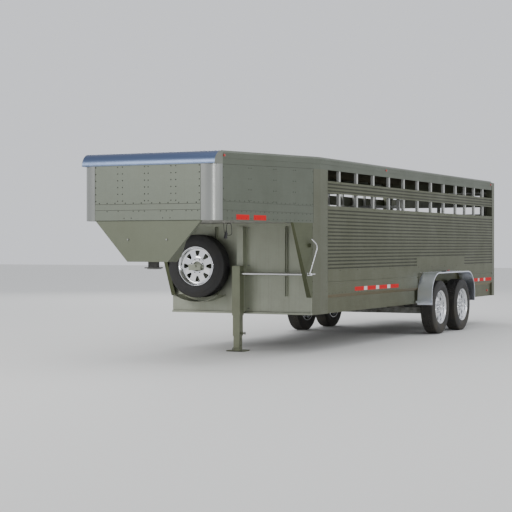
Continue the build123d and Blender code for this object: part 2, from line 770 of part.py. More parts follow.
with BuildPart() as jack_drop_leg:
    square_tube(span(jack_x, leg_half), span(jack_y, leg_half), (11, leg_top), 5)
    for i in range(5):
        level = pin_z - 150 + 75 * i
        rod(
            (jack_x, jack_y, level), (jack_x, jack_y + leg_half + 1, level),
            pin_radius + 1, mode=Mode.SUBTRACT,
        )
    run_y(
        jack_y - foot_size / 2, jack_y + foot_size / 2,
        (jack_x - foot_size / 2, 14), (jack_x - foot_size / 2 + 3, 10), (jack_x - foot_size / 2 + 30, 0),
        (jack_x + foot_size / 2 - 30, 0), (jack_x + foot_size / 2 - 3, 10), (jack_x + foot_size / 2, 14),
        (jack_x + foot_size / 2 - 28, 12), (jack_x - foot_size / 2 + 28, 12),
    )
    with BuildLine() as loop_path:
        FilletPolyline(
            (jack_x + leg_half + 14, jack_y - 48, 11), (jack_x + leg_half + 16, jack_y - 40, 44),
            (jack_x + leg_half + 16, jack_y + 40, 44), (jack_x + leg_half + 14, jack_y + 48, 11), radius=18,
        )
    with BuildSketch(Plane(origin=loop_path.line @ 0, z_dir=loop_path.line % 0)):
        Circle(5)
    sweep()
keep(jack_drop_leg, "jack_drop_leg")

with BuildPart() as jack_pin:
    outer_end = jack_y + inner_half + 26
    rod((jack_x, jack_y + leg_half + fit_gap, pin_z), (jack_x, outer_end + pin_travel + 2, pin_z), pin_radius)
    ring((jack_x, outer_end + pin_travel + 1, pin_z), (jack_x, outer_end + pin_travel + 9, pin_z), 17, 6)
keep(jack_pin, "jack_pin")

handle_y = 985
tongue_top = shaft_z - 9
with BuildPart() as crank_shaft:
    rod((jack_x, jack_y + 16, shaft_z), (jack_x, 948, shaft_z), shaft_radius)
    rod((jack_x, jack_y + 14, shaft_z), (jack_x, jack_y + 30, shaft_z), 28)
    block(span(jack_x, 12), (943, 1000), (tongue_top - 8, tongue_top))
    rod((jack_x, handle_y, tongue_top - 4), (jack_x, handle_y, shaft_z + 13), 5)
    rod((jack_x, handle_y, shaft_z + 8 + fit_gap), (jack_x, handle_y, shaft_z + 13), 9)
keep(crank_shaft, "crank_shaft")

with BuildPart() as crank_handle:
    with BuildLine() as crank_path:
        FilletPolyline(
            (jack_x - 120, handle_y, shaft_z),
            (jack_x + 36, handle_y, shaft_z), (bend_x + 140, handle_y, 1268),
            (bend_x + 330, handle_y, 1350), radius=(12, 50),
        )
    with BuildSketch(Plane(origin=crank_path.line @ 0, z_dir=crank_path.line % 0)):
        Circle(8)
    sweep()
    rod((jack_x, handle_y, tongue_top + fit_gap), (jack_x, handle_y, shaft_z + 8), 13)
    rod(
        (jack_x, handle_y, tongue_top - 1), (jack_x, handle_y, shaft_z + 9),
        5 + running_gap, mode=Mode.SUBTRACT,
    )
keep(crank_handle, "crank_handle")

# ---- wheels ----
bead_radius = rim_diameter / 2
tread_half = 76


def wheel_plane(centre, outward):
    """Section plane of a wheel: x along its axis towards the outer face, y up its radius."""
    return Plane(origin=centre, x_dir=outward, z_dir=Vector(*outward).cross(Vector(0, 0, 1)))


def tyre_section():
    """Half section of a tyre, as (offset along the axis, radius)."""
    crown = tyre_diameter / 2
    half = tyre_width / 2
    with BuildLine() as skin:
        wall = ThreePointArc((74, bead_radius), (half, bead_radius + 80), (90, crown - 12))
        shoulder = ThreePointArc(wall @ 1, (85, crown - 4), (tread_half, crown))
        tread = Line(shoulder @ 1, (-tread_half, crown))
        shoulder_in = ThreePointArc(tread @ 1, (-85, crown - 4), (-90, crown - 12))
        wall_in = ThreePointArc(shoulder_in @ 1, (-half, bead_radius + 80), (-74, bead_radius))
        Line(wall_in @ 1, (-58, bead_radius))
        liner_in = ThreePointArc((-58, bead_radius), (-half + 11, bead_radius + 80), (-78, crown - 24))
        Line(liner_in @ 1, (78, crown - 24))
        ThreePointArc((78, crown - 24), (half - 11, bead_radius + 80), (58, bead_radius))
        Line((58, bead_radius), wall @ 0)
    make_face(skin.edges())
    with Locations(*[(w, crown) for w in (-48, -16, 16, 48)]):
        Rectangle(9, 18, mode=Mode.SUBTRACT)


def rim_section():
    """Section of the barrel and the dished disc of a wheel."""
    lip = rim_lip_diameter / 2
    outline(
        (92, lip), (86, lip), (80, bead_radius + 8), (75, bead_radius),
        (-75, bead_radius), (-80, bead_radius + 8),
        (-86, lip), (-92, lip), (-92, lip - 6), (-86, lip - 12),
        (-76, bead_radius - 8), (24, bead_radius - 8),
        (30, 200), (34, 150), (38, 110), (38, 56), (52, 56), (52, 105), (49, 120), (44, 160), (40, 198),
        (44, bead_radius - 11), (72, bead_radius - 8), (84, lip - 14), (92, lip - 6),
    )


def hub_section():
    """Section of a hub, its flange, its drum and its grease cap."""
    outline(
        (-40, 30 + running_gap), (40, 30 + running_gap), (62, 20),
        (104, 0), (112, 0), (110, 24), (98, 40), (64, 46),
        (64, 55.5), (37.5, 55.5), (37.5, 105), (24, 105), (24, 155),
        (-60, 155), (-60, 145), (12, 145), (12, 60), (-40, 60),
    )


def facing(centre, outward, offset):
    """A plane across a wheel's axis, at an offset towards its outer face."""
    return Plane(origin=Vector(*centre) + Vector(*outward) * offset, z_dir=outward)


def make_wheel(suffix, centre, outward, with_hub):
    """One tyre and wheel, and for a road wheel its hub with studs and nuts."""
    plane = wheel_plane(centre, outward)
    axle = Axis(centre, outward)
    with BuildPart() as tyre:
        with BuildSketch(plane) as section:
            tyre_section()
        revolve(section.sketch, axis=axle)
    keep(tyre, f"tyre_{suffix}")
    with BuildPart() as wheel:
        with BuildSketch(plane) as section:
            rim_section()
        revolve(section.sketch, axis=axle)
        with BuildSketch(facing(centre, outward, 20)) as holes:
            with PolarLocations(158, hand_holes):
                Ellipse(27, 20)
            with PolarLocations(stud_circle / 2, stud_count, start_angle=180 / stud_count):
                Circle(8)
        extrude(holes.sketch, amount=60, mode=Mode.SUBTRACT)
    keep(wheel, f"wheel_{suffix}")
    if not with_hub:
        return
    with BuildPart() as hub:
        with BuildSketch(plane) as section:
            hub_section()
        revolve(section.sketch, axis=axle)
        with BuildSketch(facing(centre, outward, 37)) as studs:
            with PolarLocations(stud_circle / 2, stud_count, start_angle=180 / stud_count):
                Circle(7.5)
        extrude(studs.sketch, amount=38)
        with BuildSketch(facing(centre, outward, 52)) as nuts:
            with PolarLocations(stud_circle / 2, stud_count, start_angle=180 / stud_count):
                RegularPolygon(14, 6)
        extrude(nuts.sketch, amount=17)
    keep(hub, f"hub_{suffix}")


beam_z = wheel_z - beam_drop
trail = sqrt(arm_length**2 - beam_drop**2)
corners = {
    "front_left": (axle_stations[0], 1), "front_right": (axle_stations[0], -1),
    "rear_left": (axle_stations[1], 1), "rear_right": (axle_stations[1], -1),
}
beam_half_length = 905
arm_inner = 912
torsion_radius = 27
for corner, (station, side) in corners.items():
    make_wheel(corner, (station, side * wheel_centre_y, wheel_z), (0, side, 0), True)
    with BuildPart() as torsion_arm:
        with BuildSketch(Plane.XZ.offset(-side * arm_inner)) as arm_face:
            with Locations((station + trail, beam_z)):
                Circle(44)
            with Locations((station, wheel_z)):
                Circle(40)
            make_hull()
        extrude(arm_face.sketch, amount=-side * 30)
        rod(
            (station + trail, side * 640, beam_z),
            (station + trail, side * (arm_inner + 1), beam_z), torsion_radius,
        )
        spindle_end = wheel_centre_y + 38
        rod((station, side * (arm_inner + 28), wheel_z), (station, side * spindle_end, wheel_z), 30)
        plate_y = wheel_centre_y - 72
        rod((station, side * plate_y, wheel_z), (station, side * (plate_y + 8), wheel_z), 150)
    keep(torsion_arm, f"torsion_arm_{corner}")

with BuildPart() as axle_beams:
    half = beam_size / 2
    for station in axle_stations:
        pivot = station + trail
        block(span(pivot, half), (-beam_half_length, beam_half_length), span(beam_z, half))
        block(
            span(pivot, half - 6), (-beam_half_length - 1, beam_half_length + 1),
            span(beam_z, half - 6), mode=Mode.SUBTRACT,
        )
        for side in (1, -1):
            for y in (700, beam_half_length - 15):  # bearing plates for the torsion bars
                y_span = sorted((side * y, side * (y + 15)))
                block(span(pivot, half - 5), y_span, span(beam_z, half - 5))
                rod(
                    (pivot, y_span[0] - 1, beam_z), (pivot, y_span[1] + 1, beam_z),
                    torsion_radius + running_gap,
                    mode=Mode.SUBTRACT,
                )
            bracket = (sill_bottom - subframe_size, beam_z + half)
            block(span(pivot, 80), span(side * subframe_y, subframe_size / 2 + 4), (bracket[1], bracket[0]))
            for edge in (-1, 1):
                y_span = sorted((side * subframe_y + edge * 30, side * subframe_y + edge * 34))
                block(span(pivot, 80), y_span, (beam_z + half, sill_bottom - 10))
keep(axle_beams, "axle_beams")

# ---- fenders ----
with BuildPart() as fenders:
    for depth, y_low in ((4, half_width), (16, fender_outer_y - 9)):
        with BuildSketch(Plane.XZ.offset(-fender_outer_y)):
            with BuildLine():
                runs = []
                for inset in (0, depth):
                    front, rear = bend_x - fender_front - inset, bend_x - fender_rear + inset
                    top = fender_top - inset
                    runs.append(
                        FilletPolyline(
                            (front, fender_bottom), (front, top), (rear, top), (rear, fender_bottom),
                            radius=fender_radius - inset,
                        )
                    )
                Line(runs[0] @ 0, runs[1] @ 0)
                Line(runs[0] @ 1, runs[1] @ 1)
            make_face()
        extrude(amount=fender_outer_y - y_low)
    block(
        (bend_x - fender_front, bend_x - fender_front + 75), (half_width, fender_outer_y - 5), (455, 459)
    )
    block(
        (bend_x - fender_front + 71, bend_x - fender_front + 75),
        (half_width, fender_outer_y - 5), (455, 490),
    )
    mirror(about=Plane.XZ)
keep(fenders, "fenders")

# ---- spare wheel and its carrier ----
spare_x = bulkhead_x + spare_ahead
spare_centre = (spare_x, spare_y, spare_z)
make_wheel("spare", spare_centre, (1, 0, 0), False)

with BuildPart() as spare_carrier:
    rod((bulkhead_x, spare_y, spare_z), (spare_x + 36, spare_y, spare_z), 55)
    rod((spare_x + 35, spare_y, spare_z), (spare_x + 118, spare_y, spare_z), 9)
    plate_x = spare_x + 94
    block((plate_x, plate_x + 8), span(spare_y - 12, 82), span(spare_z - 14, 36.5))
    with BuildSketch(Plane.YZ.offset(plate_x + 8)):
        with Locations((spare_y, spare_z)):
            RegularPolygon(15, 6)
    extrude(amount=14)
    for side in (1, -1):  # plate legs that bear on the wheel's disc
        block((spare_x + 52, plate_x), span(spare_y + side * 62 - 12 * (side < 0), 5), span(spare_z - 14, 30))
    # curved tray below the tyre
    tray_low = 585
    with BuildSketch(Plane.YZ.offset(bulkhead_x)):
        with BuildLine():
            lows = [
                ThreePointArc(
                    (spare_y - 300, tray_low + 85 + lift), (spare_y, tray_low + lift),
                    (spare_y + 300, tray_low + 85 + lift)
                )
                for lift in (0, 3)
            ]
            Line(lows[0] @ 0, lows[1] @ 0)
            Line(lows[0] @ 1, lows[1] @ 1)
        make_face()
    extrude(amount=225)
keep(spare_carrier, "spare_carrier")

# ---- gates ----
gate_low, gate_high = floor_top + gate_gap, header_bottom - gate_gap
gate_half = opening_half - gate_gap
gate_x = (frame_rear_x + gate_inset, frame_rear_x + gate_inset + gate_depth)
stile, rail = 100, 40
knuckle_radius = 15
pin_bore = gate_hinge_radius + running_gap


def knuckle(x, y, z, reach):
    """A hinge knuckle round a vertical pin, with a strap reaching in +Y."""
    block((x, x + 6), (y, y + reach), span(z, hinge_height / 2 - 8))
    rod((x, y, z - hinge_height / 2 + fit_gap), (x, y, z + hinge_height / 2 - fit_gap), knuckle_radius)
    rod((x, y, z - hinge_height / 2 - 1), (x, y, z + hinge_height / 2 + 1), pin_bore, mode=Mode.SUBTRACT)


with BuildPart() as rear_gate:
    block(gate_x, (-gate_half, gate_half), (gate_low, gate_high))
    block(
        (gate_x[0] - 1, gate_x[1] + 1), (rail / 2, gate_half - stile),
        (gate_low + rail, gate_high - rail), mode=Mode.SUBTRACT,
    )
    block(
        (gate_x[0] + 3, gate_x[1] + 1), (-gate_half + rail, -rail / 2),
        (gate_low + rail, lower_vent_bottom), mode=Mode.SUBTRACT,
    )
    for level in (lower_vent_bottom + rail, mid_rail_top + 4):
        high = mid_rail_bottom if level < mid_rail_bottom else gate_high - rail
        block(
            (gate_x[0] - 1, gate_x[1] + 1), (-gate_half + rail, -rail / 2),
            (level, high), mode=Mode.SUBTRACT,
        )
    # pressed ribs on the sheet
    for i in range(rib_count + 8):
        level = gate_low + 60 + i * rib_pitch
        block(
            (gate_x[0] - 1, gate_x[0] + 1.5), (-gate_half + rail, -rail / 2),
            (level, level + rib_groove), mode=Mode.SUBTRACT,
        )
    # tracks for the sliding half door
    track_x = (gate_x[1], gate_x[1] + 35)
    for base, lip in (
        ((gate_low, gate_low + 11), (gate_low, gate_low + 26)),
        ((gate_high - 11, gate_high), (gate_high - 26, gate_high)),
    ):
        block(track_x, (-gate_half + 6, gate_half - 6), base)
        block((track_x[1] - 5, track_x[1]), (-gate_half + 6, gate_half - 6), lip)
    # bore and slot for the bolt
    rod(
        (bolt_x, gate_half - stile - 1, bolt_z),
        (bolt_x, gate_half + 1, bolt_z), 9 + running_gap, mode=Mode.SUBTRACT,
    )
    block(
        (gate_x[0] - 1, bolt_x), (gate_half - stile + 18, gate_half - 12),
        span(bolt_z, 7), mode=Mode.SUBTRACT,
    )
    for z in hinge_levels:
        rod(
            (hinge_x, hinge_y, z - hinge_height / 2),
            (hinge_x, hinge_y, z + hinge_height / 2), knuckle_radius,
        )
        block((hinge_x, hinge_x + 8), (hinge_y, -gate_half + 12), span(z, hinge_height / 2 - 8))
        block((hinge_x + 7, gate_x[0] + 1), (-gate_half + 1, -gate_half + 12), span(z, hinge_height / 2 - 8))
        rod(
            (hinge_x, hinge_y, z - hinge_height / 2 - 1),
            (hinge_x, hinge_y, z + hinge_height / 2 + 1), pin_bore, mode=Mode.SUBTRACT,
        )
keep(rear_gate, "rear_gate")

with BuildPart() as half_door:
    door_x = (gate_x[1] + 4, gate_x[1] + 28)
    door_z = (gate_low + 12, gate_high - 13)
    door_y = (8, gate_half - stile + 14)
    block(door_x, door_y, door_z)
    block(
        (door_x[0] + 3, door_x[1] + 1), (door_y[0] + 35, door_y[1] - 35),
        (door_z[0] + 35, lower_vent_bottom), mode=Mode.SUBTRACT,
    )
    for level, high in ((lower_vent_bottom + rail, mid_rail_bottom), (mid_rail_top + 4, door_z[1] - 35)):
        block(
            (door_x[0] - 1, door_x[1] + 1), (door_y[0] + 35, door_y[1] - 35),
            (level, high), mode=Mode.SUBTRACT,
        )
keep(half_door, "half_door")

with BuildPart() as gate_bolt:
    rod((bolt_x, gate_half - 90, bolt_z), (bolt_x, gate_half - 2, bolt_z), 9)
    rod((bolt_x, gate_half - 75, bolt_z), (rear_x + 3, gate_half - 75, bolt_z), 5)
    rod((rear_x + 9, gate_half - 75, bolt_z), (rear_x + 2, gate_half - 75, bolt_z), 9)
keep(gate_bolt, "gate_bolt")

centre_gate_x = front_bay_posts[4]
centre_hinge_y = -post_inner + 34
with BuildPart() as centre_gate:
    near, far = centre_hinge_y + 20, post_inner - 30
    centre_x = span(centre_gate_x, 20)
    block(centre_x, (near, far), (600, 2040))
    for low, high in ((640, 1180), (1220, 1560)):
        block((centre_x[0] + 3, centre_x[1] + 1), (near + 40, -20), (low, high), mode=Mode.SUBTRACT)
        block((centre_x[0] + 3, centre_x[1] + 1), (20, far - 40), (low, high), mode=Mode.SUBTRACT)
    for low, high in ((1600, 1790), (1830, 2000)):
        block((centre_x[0] - 1, centre_x[1] + 1), (near + 40, far - 40), (low, high), mode=Mode.SUBTRACT)
    for z in hinge_levels:
        knuckle(centre_gate_x, centre_hinge_y, z, 24)
keep(centre_gate, "centre_gate")

with BuildPart() as gate_hinge_pins:
    for x, y, foot, reach in (
        (hinge_x, hinge_y, (-10, 0), 45), (centre_gate_x, centre_hinge_y, (-12, 12), 34),
    ):
        for z in hinge_levels:
            low, high = z - hinge_height / 2 - lug_height, z + hinge_height / 2 + lug_height
            rod((x, y, low), (x, y, high), gate_hinge_radius)
            for z_low in (low, high - lug_height):
                ring((x, y, z_low), (x, y, z_low + lug_height), knuckle_radius, gate_hinge_radius)
                block((x + foot[0], x + foot[1]), (y - reach, y - 12), (z_low, z_low + lug_height))
keep(gate_hinge_pins, "gate_hinge_pins")

# ---- lamps and reflective tape ----


def lamp(centre, outward, radius):
    """A round lens on a shallow bezel, standing on a surface."""
    with BuildSketch(Plane(origin=centre, z_dir=outward)) as bezel:
        Circle(radius)
    extrude(bezel.sketch, amount=5)
    with BuildSketch(Plane(origin=Vector(*centre) + Vector(*outward) * 5, z_dir=outward)) as lens:
        Circle(radius - 3)
    extrude(lens.sketch, amount=5, taper=25)


with BuildPart() as lamps:
    for station in (-2200, -7020):
        lamp((bend_x + station, half_width, 2275), (0, 1, 0), 15)
    lamp((bend_x + 2255, wall_y(bend_x + 2255), 2226), (nose_taper, 1, 0), 15)
    lamp((bend_x - 6890, skirt_y, 539), (0, 1, 0), 17)
    fender_middle = (axle_stations[0] + axle_stations[1]) / 2
    block(span(fender_middle, 150), (1035, 1105), (fender_top, fender_top + 14))
    lamp((fender_middle - 60, 1070, fender_top + 14), (0, 0, 1), 22)
    for z in (900, 1020):
        lamp((frame_rear_x, 910, z), (-1, 0, 0), 42)
    mirror(about=Plane.XZ)
    for y in (-150, 0, 150):
        lamp((frame_rear_x, y, 2230), (-1, 0, 0), 22)
keep(lamps, "lamps")

tape_low, tape_high = 699, 749
side_tape = (-1089, -1400, -1515, -1825, -1938, -2239, -2356, -2677)
rear_tape = (-6100, -6320, -6400, -6640, -6720, -7060)
with BuildPart() as reflective_tape:
    for places in (side_tape, rear_tape):
        for front, rear in zip(places, places[1:]):
            block(
                (bend_x + rear + 1, bend_x + front - 1),
                (half_width, half_width + 0.6), (tape_low, tape_high),
            )
    for front, rear in ((2002, 1723), (1621, 1344)):
        with BuildSketch(
            Plane(origin=side_origin, x_dir=(1, -nose_taper, 0), z_dir=(nose_taper, 1, 0)),
        ) as strip:
            near, far = (rear - corner_post_front) * slant, (front - corner_post_front) * slant
            outline((near, -1606), (far, -1606), (far, -1551), (near, -1551))
        extrude(strip.sketch, amount=0.6)
    mirror(about=Plane.XZ)
keep(reflective_tape, "reflective_tape")

# ---- light cord, hung in a loop over its hook, and its plug ----
cord_radius = 3.5
cord_points = [
    (cord_x, 695, 1516), (cord_x, 695, 1462), (cord_x - 20, 698, 1384), (cord_x - 21, 783, 1380),
    (cord_x - 8, 788, 1446), (cord_x, 786, 1510), (cord_x + 2, 733, 1514), (cord_x + 8, 735, 1462),
    (cord_x + 10, 732, 1432),
]
cord_runs = [(Vector(*b) - Vector(*a)) for a, b in zip(cord_points, cord_points[1:])]
cord_radii = []
for before, after in zip(cord_runs, cord_runs[1:]):
    shorter = min(before.length, after.length)
    cord_radii.append(0.45 * shorter / tan(radians(before.get_angle(after) / 2)))
print("cord radii", [round(radius) for radius in cord_radii])
with BuildPart() as light_cord:
    with BuildLine() as cord_path:
        FilletPolyline(*cord_points, radius=cord_radii)
    with BuildSketch(Plane(origin=cord_path.line @ 0, z_dir=cord_path.line % 0)):
        Circle(cord_radius)
    sweep()
cord_length = cord_path.wires()[0].length
print(
    "cord length", round(cord_length), "volume share",
    light_cord.part.volume / cord_length / pi / cord_radius**2,
)
keep(light_cord, "light_cord")

plug_end = Vector(*cord_points[-1])
plug_way = cord_path.wires()[0] % 1
with BuildPart() as cord_plug:
    for start, end, radius in ((0, 22, 9), (20, 68, 17), (66, 88, 20)):
        rod(plug_end + plug_way * start, plug_end + plug_way * end, radius)
keep(cord_plug, "cord_plug")
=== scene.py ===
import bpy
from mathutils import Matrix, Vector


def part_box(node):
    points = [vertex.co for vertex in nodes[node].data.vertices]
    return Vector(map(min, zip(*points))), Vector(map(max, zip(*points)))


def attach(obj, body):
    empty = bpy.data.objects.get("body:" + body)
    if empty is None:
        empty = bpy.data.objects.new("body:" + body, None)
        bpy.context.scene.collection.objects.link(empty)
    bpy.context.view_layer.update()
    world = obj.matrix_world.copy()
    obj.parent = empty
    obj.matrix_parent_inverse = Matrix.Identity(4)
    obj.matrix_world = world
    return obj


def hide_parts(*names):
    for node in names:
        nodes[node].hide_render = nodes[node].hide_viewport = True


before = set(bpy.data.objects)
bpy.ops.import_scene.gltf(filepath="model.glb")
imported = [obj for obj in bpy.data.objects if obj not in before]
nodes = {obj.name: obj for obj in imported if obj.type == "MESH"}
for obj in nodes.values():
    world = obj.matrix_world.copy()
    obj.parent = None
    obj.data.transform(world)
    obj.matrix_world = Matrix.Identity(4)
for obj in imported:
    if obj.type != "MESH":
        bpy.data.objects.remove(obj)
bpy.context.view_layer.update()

import math

import bmesh
import bpy
from mathutils import Vector

print("stage: frame loaded,", len(nodes), "nodes")

# places that several pieces share, in metres
body = {
    "bendX": 2.3975, "cornerX": 2.5845, "bulkheadX": 2.6125, "noseSideEnd": 4.6825, "noseFace": 4.8455,
    "halfWidth": 0.9605, "taper": 0.0563, "drop": 0.0244, "railUnder": 2.187,
    "jackX": 2.745, "jackY": 0.026, "wheelY": 1.054, "wheelZ": 0.3835,
}
corners = {
    "front_left": (-1.5335, 1), "front_right": (-1.5335, -1),
    "rear_left": (-2.5415, 1), "rear_right": (-2.5415, -1),
}


def wallY(x):
    return body["halfWidth"] - max(0.0, x - body["bendX"]) * body["taper"]


def railZ(x):
    return body["railUnder"] - max(0.0, x - body["bendX"]) * body["drop"]


# where the camera stands, with its heading and tilt in degrees
cameraView = {"at": (17.686, 7.615, 1.270), "yaw": 26.18, "pitch": -0.424, "lens": 97.8}


def makeCamera():
    yaw, pitch = math.radians(cameraView["yaw"]), math.radians(cameraView["pitch"])
    ahead = Vector((-math.cos(yaw) * math.cos(pitch), -math.sin(yaw) * math.cos(pitch), math.sin(pitch)))
    data = bpy.data.cameras.new("trailerCamera")
    data.lens = cameraView["lens"]
    data.sensor_width = 36
    camera = bpy.data.objects.new("trailerCamera", data)
    camera.location = cameraView["at"]
    camera.rotation_mode = "QUATERNION"
    camera.rotation_quaternion = ahead.to_track_quat("-Z", "Y")
    bpy.context.scene.collection.objects.link(camera)
    bpy.context.scene.camera = camera


makeCamera()


def place(tree, kind, **values):
    node = tree.nodes.new(kind)
    for name, value in values.items():
        setattr(node, name, value)
    return node


def joinUp(tree, *pairs):
    for start, end in pairs:
        tree.links.new(start, end)


def newGroup(name, inputs, outputs):
    tree = bpy.data.node_groups.new(name, "ShaderNodeTree")
    for label, kind, value in inputs:
        socket = tree.interface.new_socket(label, in_out="INPUT", socket_type=kind)
        if value is not None:
            socket.default_value = value
    for label, kind in outputs:
        tree.interface.new_socket(label, in_out="OUTPUT", socket_type=kind)
    return tree, place(tree, "NodeGroupInput"), place(tree, "NodeGroupOutput")


def noiseAt(tree, stretch, scale, detail=4.0, roughness=0.55):
    # noise in object space, stretched by a mapping
    spot = place(tree, "ShaderNodeTexCoord")
    mapping = place(tree, "ShaderNodeMapping")
    mapping.inputs["Scale"].default_value = stretch
    noise = place(tree, "ShaderNodeTexNoise")
    noise.inputs["Scale"].default_value = scale
    noise.inputs["Detail"].default_value = detail
    noise.inputs["Roughness"].default_value = roughness
    joinUp(
        tree, (spot.outputs["Object"], mapping.inputs["Vector"]),
        (mapping.outputs["Vector"], noise.inputs["Vector"]),
    )
    return noise


def ramp(tree, source, low, high, toLow=0.0, toHigh=1.0):
    node = place(tree, "ShaderNodeMapRange")
    node.inputs["From Min"].default_value = low
    node.inputs["From Max"].default_value = high
    node.inputs["To Min"].default_value = toLow
    node.inputs["To Max"].default_value = toHigh
    joinUp(tree, (source, node.inputs["Value"]))
    return node.outputs["Result"]


def sums(tree, kind, first, second):
    node = place(tree, "ShaderNodeMath", operation=kind)
    for socket, value in zip(node.inputs, (first, second)):
        if isinstance(value, (int, float)):
            socket.default_value = value
        else:
            joinUp(tree, (value, socket))
    return node.outputs[0]


def mixColour(tree, amount, first, second, blend="MIX"):
    node = place(tree, "ShaderNodeMix", data_type="RGBA", blend_type=blend)
    for socket, value in ((node.inputs[0], amount), (node.inputs[6], first), (node.inputs[7], second)):
        if isinstance(value, (int, float)):
            socket.default_value = value
        elif isinstance(value, tuple):
            socket.default_value = (*value, 1.0)
        else:
            joinUp(tree, (value, socket))
    return node.outputs[2]


def makePatina():
    # cloudy oxide on aluminium, with runs of rain down its upright faces and fine scratches
    tree, given, out = newGroup(
        "aluminiumPatina",
        [("Colour", "NodeSocketColor", (0.4, 0.4, 0.4, 1)), ("Dull", "NodeSocketColor", (0.3, 0.3, 0.27, 1)),
         ("Clouding", "NodeSocketFloat", 0.5), ("Streaks", "NodeSocketFloat", 0.4),
         ("Rough", "NodeSocketFloat", 0.45)],
        [("Colour", "NodeSocketColor"), ("Rough", "NodeSocketFloat"), ("Height", "NodeSocketFloat")],
    )
    clouds = noiseAt(tree, (1, 1, 1), 2.3, 7.0, 0.6).outputs["Fac"]
    blotch = noiseAt(tree, (1, 1, 1), 17.0, 5.0, 0.65).outputs["Fac"]
    runs = noiseAt(tree, (26, 26, 0.9), 1.0, 5.0, 0.6).outputs["Fac"]
    scratch = noiseAt(tree, (5, 5, 240), 1.0, 3.0, 0.7).outputs["Fac"]
    cloudMask = sums(tree, "MULTIPLY", ramp(tree, clouds, 0.32, 0.68), given.outputs["Clouding"])
    blotchMask = sums(tree, "MULTIPLY", ramp(tree, blotch, 0.45, 0.75), given.outputs["Clouding"])
    runMask = sums(tree, "MULTIPLY", ramp(tree, runs, 0.52, 0.78), given.outputs["Streaks"])
    colour = mixColour(tree, cloudMask, given.outputs["Colour"], given.outputs["Dull"])
    colour = mixColour(tree, sums(tree, "MULTIPLY", blotchMask, 0.45), colour, given.outputs["Dull"])
    colour = mixColour(tree, sums(tree, "MULTIPLY", runMask, 0.55), colour, (0.155, 0.150, 0.120))
    rough = sums(tree, "ADD", given.outputs["Rough"], sums(tree, "MULTIPLY", cloudMask, 0.14))
    rough = sums(tree, "ADD", rough, sums(tree, "MULTIPLY", runMask, 0.16))
    rough = sums(tree, "ADD", rough, ramp(tree, scratch, 0.3, 0.7, -0.04, 0.05))
    height = sums(tree, "ADD", sums(tree, "MULTIPLY", blotch, 0.6), sums(tree, "MULTIPLY", scratch, 0.25))
    joinUp(
        tree, (colour, out.inputs["Colour"]), (rough, out.inputs["Rough"]), (height, out.inputs["Height"]),
    )
    return tree


def makeRoadGrime():
    # brown dust thrown up from the road, thick at the bottom and gone above its line
    tree, given, out = newGroup(
        "roadGrime",
        [("Colour", "NodeSocketColor", (0.4, 0.4, 0.4, 1)), ("Rough", "NodeSocketFloat", 0.45),
         ("Line", "NodeSocketFloat", 1.1), ("Amount", "NodeSocketFloat", 0.6)],
        [("Colour", "NodeSocketColor"), ("Rough", "NodeSocketFloat")],
    )
    spot = place(tree, "ShaderNodeTexCoord")
    split = place(tree, "ShaderNodeSeparateXYZ")
    joinUp(tree, (spot.outputs["Object"], split.inputs["Vector"]))
    low = sums(tree, "DIVIDE", split.outputs["Z"], given.outputs["Line"])
    low = ramp(tree, low, 0.15, 1.0, 1.0, 0.0)
    splash = noiseAt(tree, (1, 1, 1), 5.5, 8.0, 0.68).outputs["Fac"]
    fine = noiseAt(tree, (1, 1, 1), 60.0, 3.0, 0.6).outputs["Fac"]
    mask = sums(tree, "MULTIPLY", low, ramp(tree, splash, 0.30, 0.66))
    mask = sums(tree, "MULTIPLY", mask, ramp(tree, fine, 0.2, 0.7, 0.55, 1.0))
    mask = sums(tree, "MULTIPLY", mask, given.outputs["Amount"])
    colour = mixColour(tree, mask, given.outputs["Colour"], (0.135, 0.118, 0.085))
    rough = sums(tree, "ADD", given.outputs["Rough"], sums(tree, "MULTIPLY", mask, 0.4))
    joinUp(tree, (colour, out.inputs["Colour"]), (rough, out.inputs["Rough"]))
    return tree


def makeFineGrain():
    # short directional grain with small pits, for castings, rubber and brushed metal
    tree, given, out = newGroup(
        "fineGrain",
        [("Colour", "NodeSocketColor", (0.4, 0.4, 0.4, 1)), ("Dark", "NodeSocketColor", (0.2, 0.2, 0.2, 1)),
         ("Rough", "NodeSocketFloat", 0.4), ("Mottle", "NodeSocketFloat", 0.4)],
        [("Colour", "NodeSocketColor"), ("Rough", "NodeSocketFloat"), ("Height", "NodeSocketFloat")],
    )
    mottle = noiseAt(tree, (1, 1, 1), 11.0, 6.0, 0.6).outputs["Fac"]
    pits = noiseAt(tree, (1, 1, 1), 210.0, 3.0, 0.6).outputs["Fac"]
    mask = sums(tree, "MULTIPLY", ramp(tree, mottle, 0.38, 0.7), given.outputs["Mottle"])
    colour = mixColour(tree, mask, given.outputs["Colour"], given.outputs["Dark"])
    rough = sums(tree, "ADD", given.outputs["Rough"], sums(tree, "MULTIPLY", mask, 0.25))
    rough = sums(tree, "ADD", rough, ramp(tree, pits, 0.3, 0.7, -0.03, 0.04))
    joinUp(tree, (colour, out.inputs["Colour"]), (rough, out.inputs["Rough"]), (pits, out.inputs["Height"]))
    return tree


patina, roadGrime, fineGrain = makePatina(), makeRoadGrime(), makeFineGrain()


def useGroup(tree, group, **values):
    node = place(tree, "ShaderNodeGroup", node_tree=group)
    for name, value in values.items():
        if isinstance(value, tuple):
            node.inputs[name].default_value = (*value, 1.0)
        elif isinstance(value, (int, float)):
            node.inputs[name].default_value = value
        else:
            joinUp(tree, (value, node.inputs[name]))
    return node


def newFinish(name, slotName, metallic, **sockets):
    material = bpy.data.materials.new(name)
    material.use_nodes = True
    material["slot"] = slotName
    tree = material.node_tree
    shader = tree.nodes["Principled BSDF"]
    shader.inputs["Metallic"].default_value = metallic
    for socket, value in sockets.items():
        shader.inputs[socket.replace("_", " ")].default_value = value
    return material, tree, shader


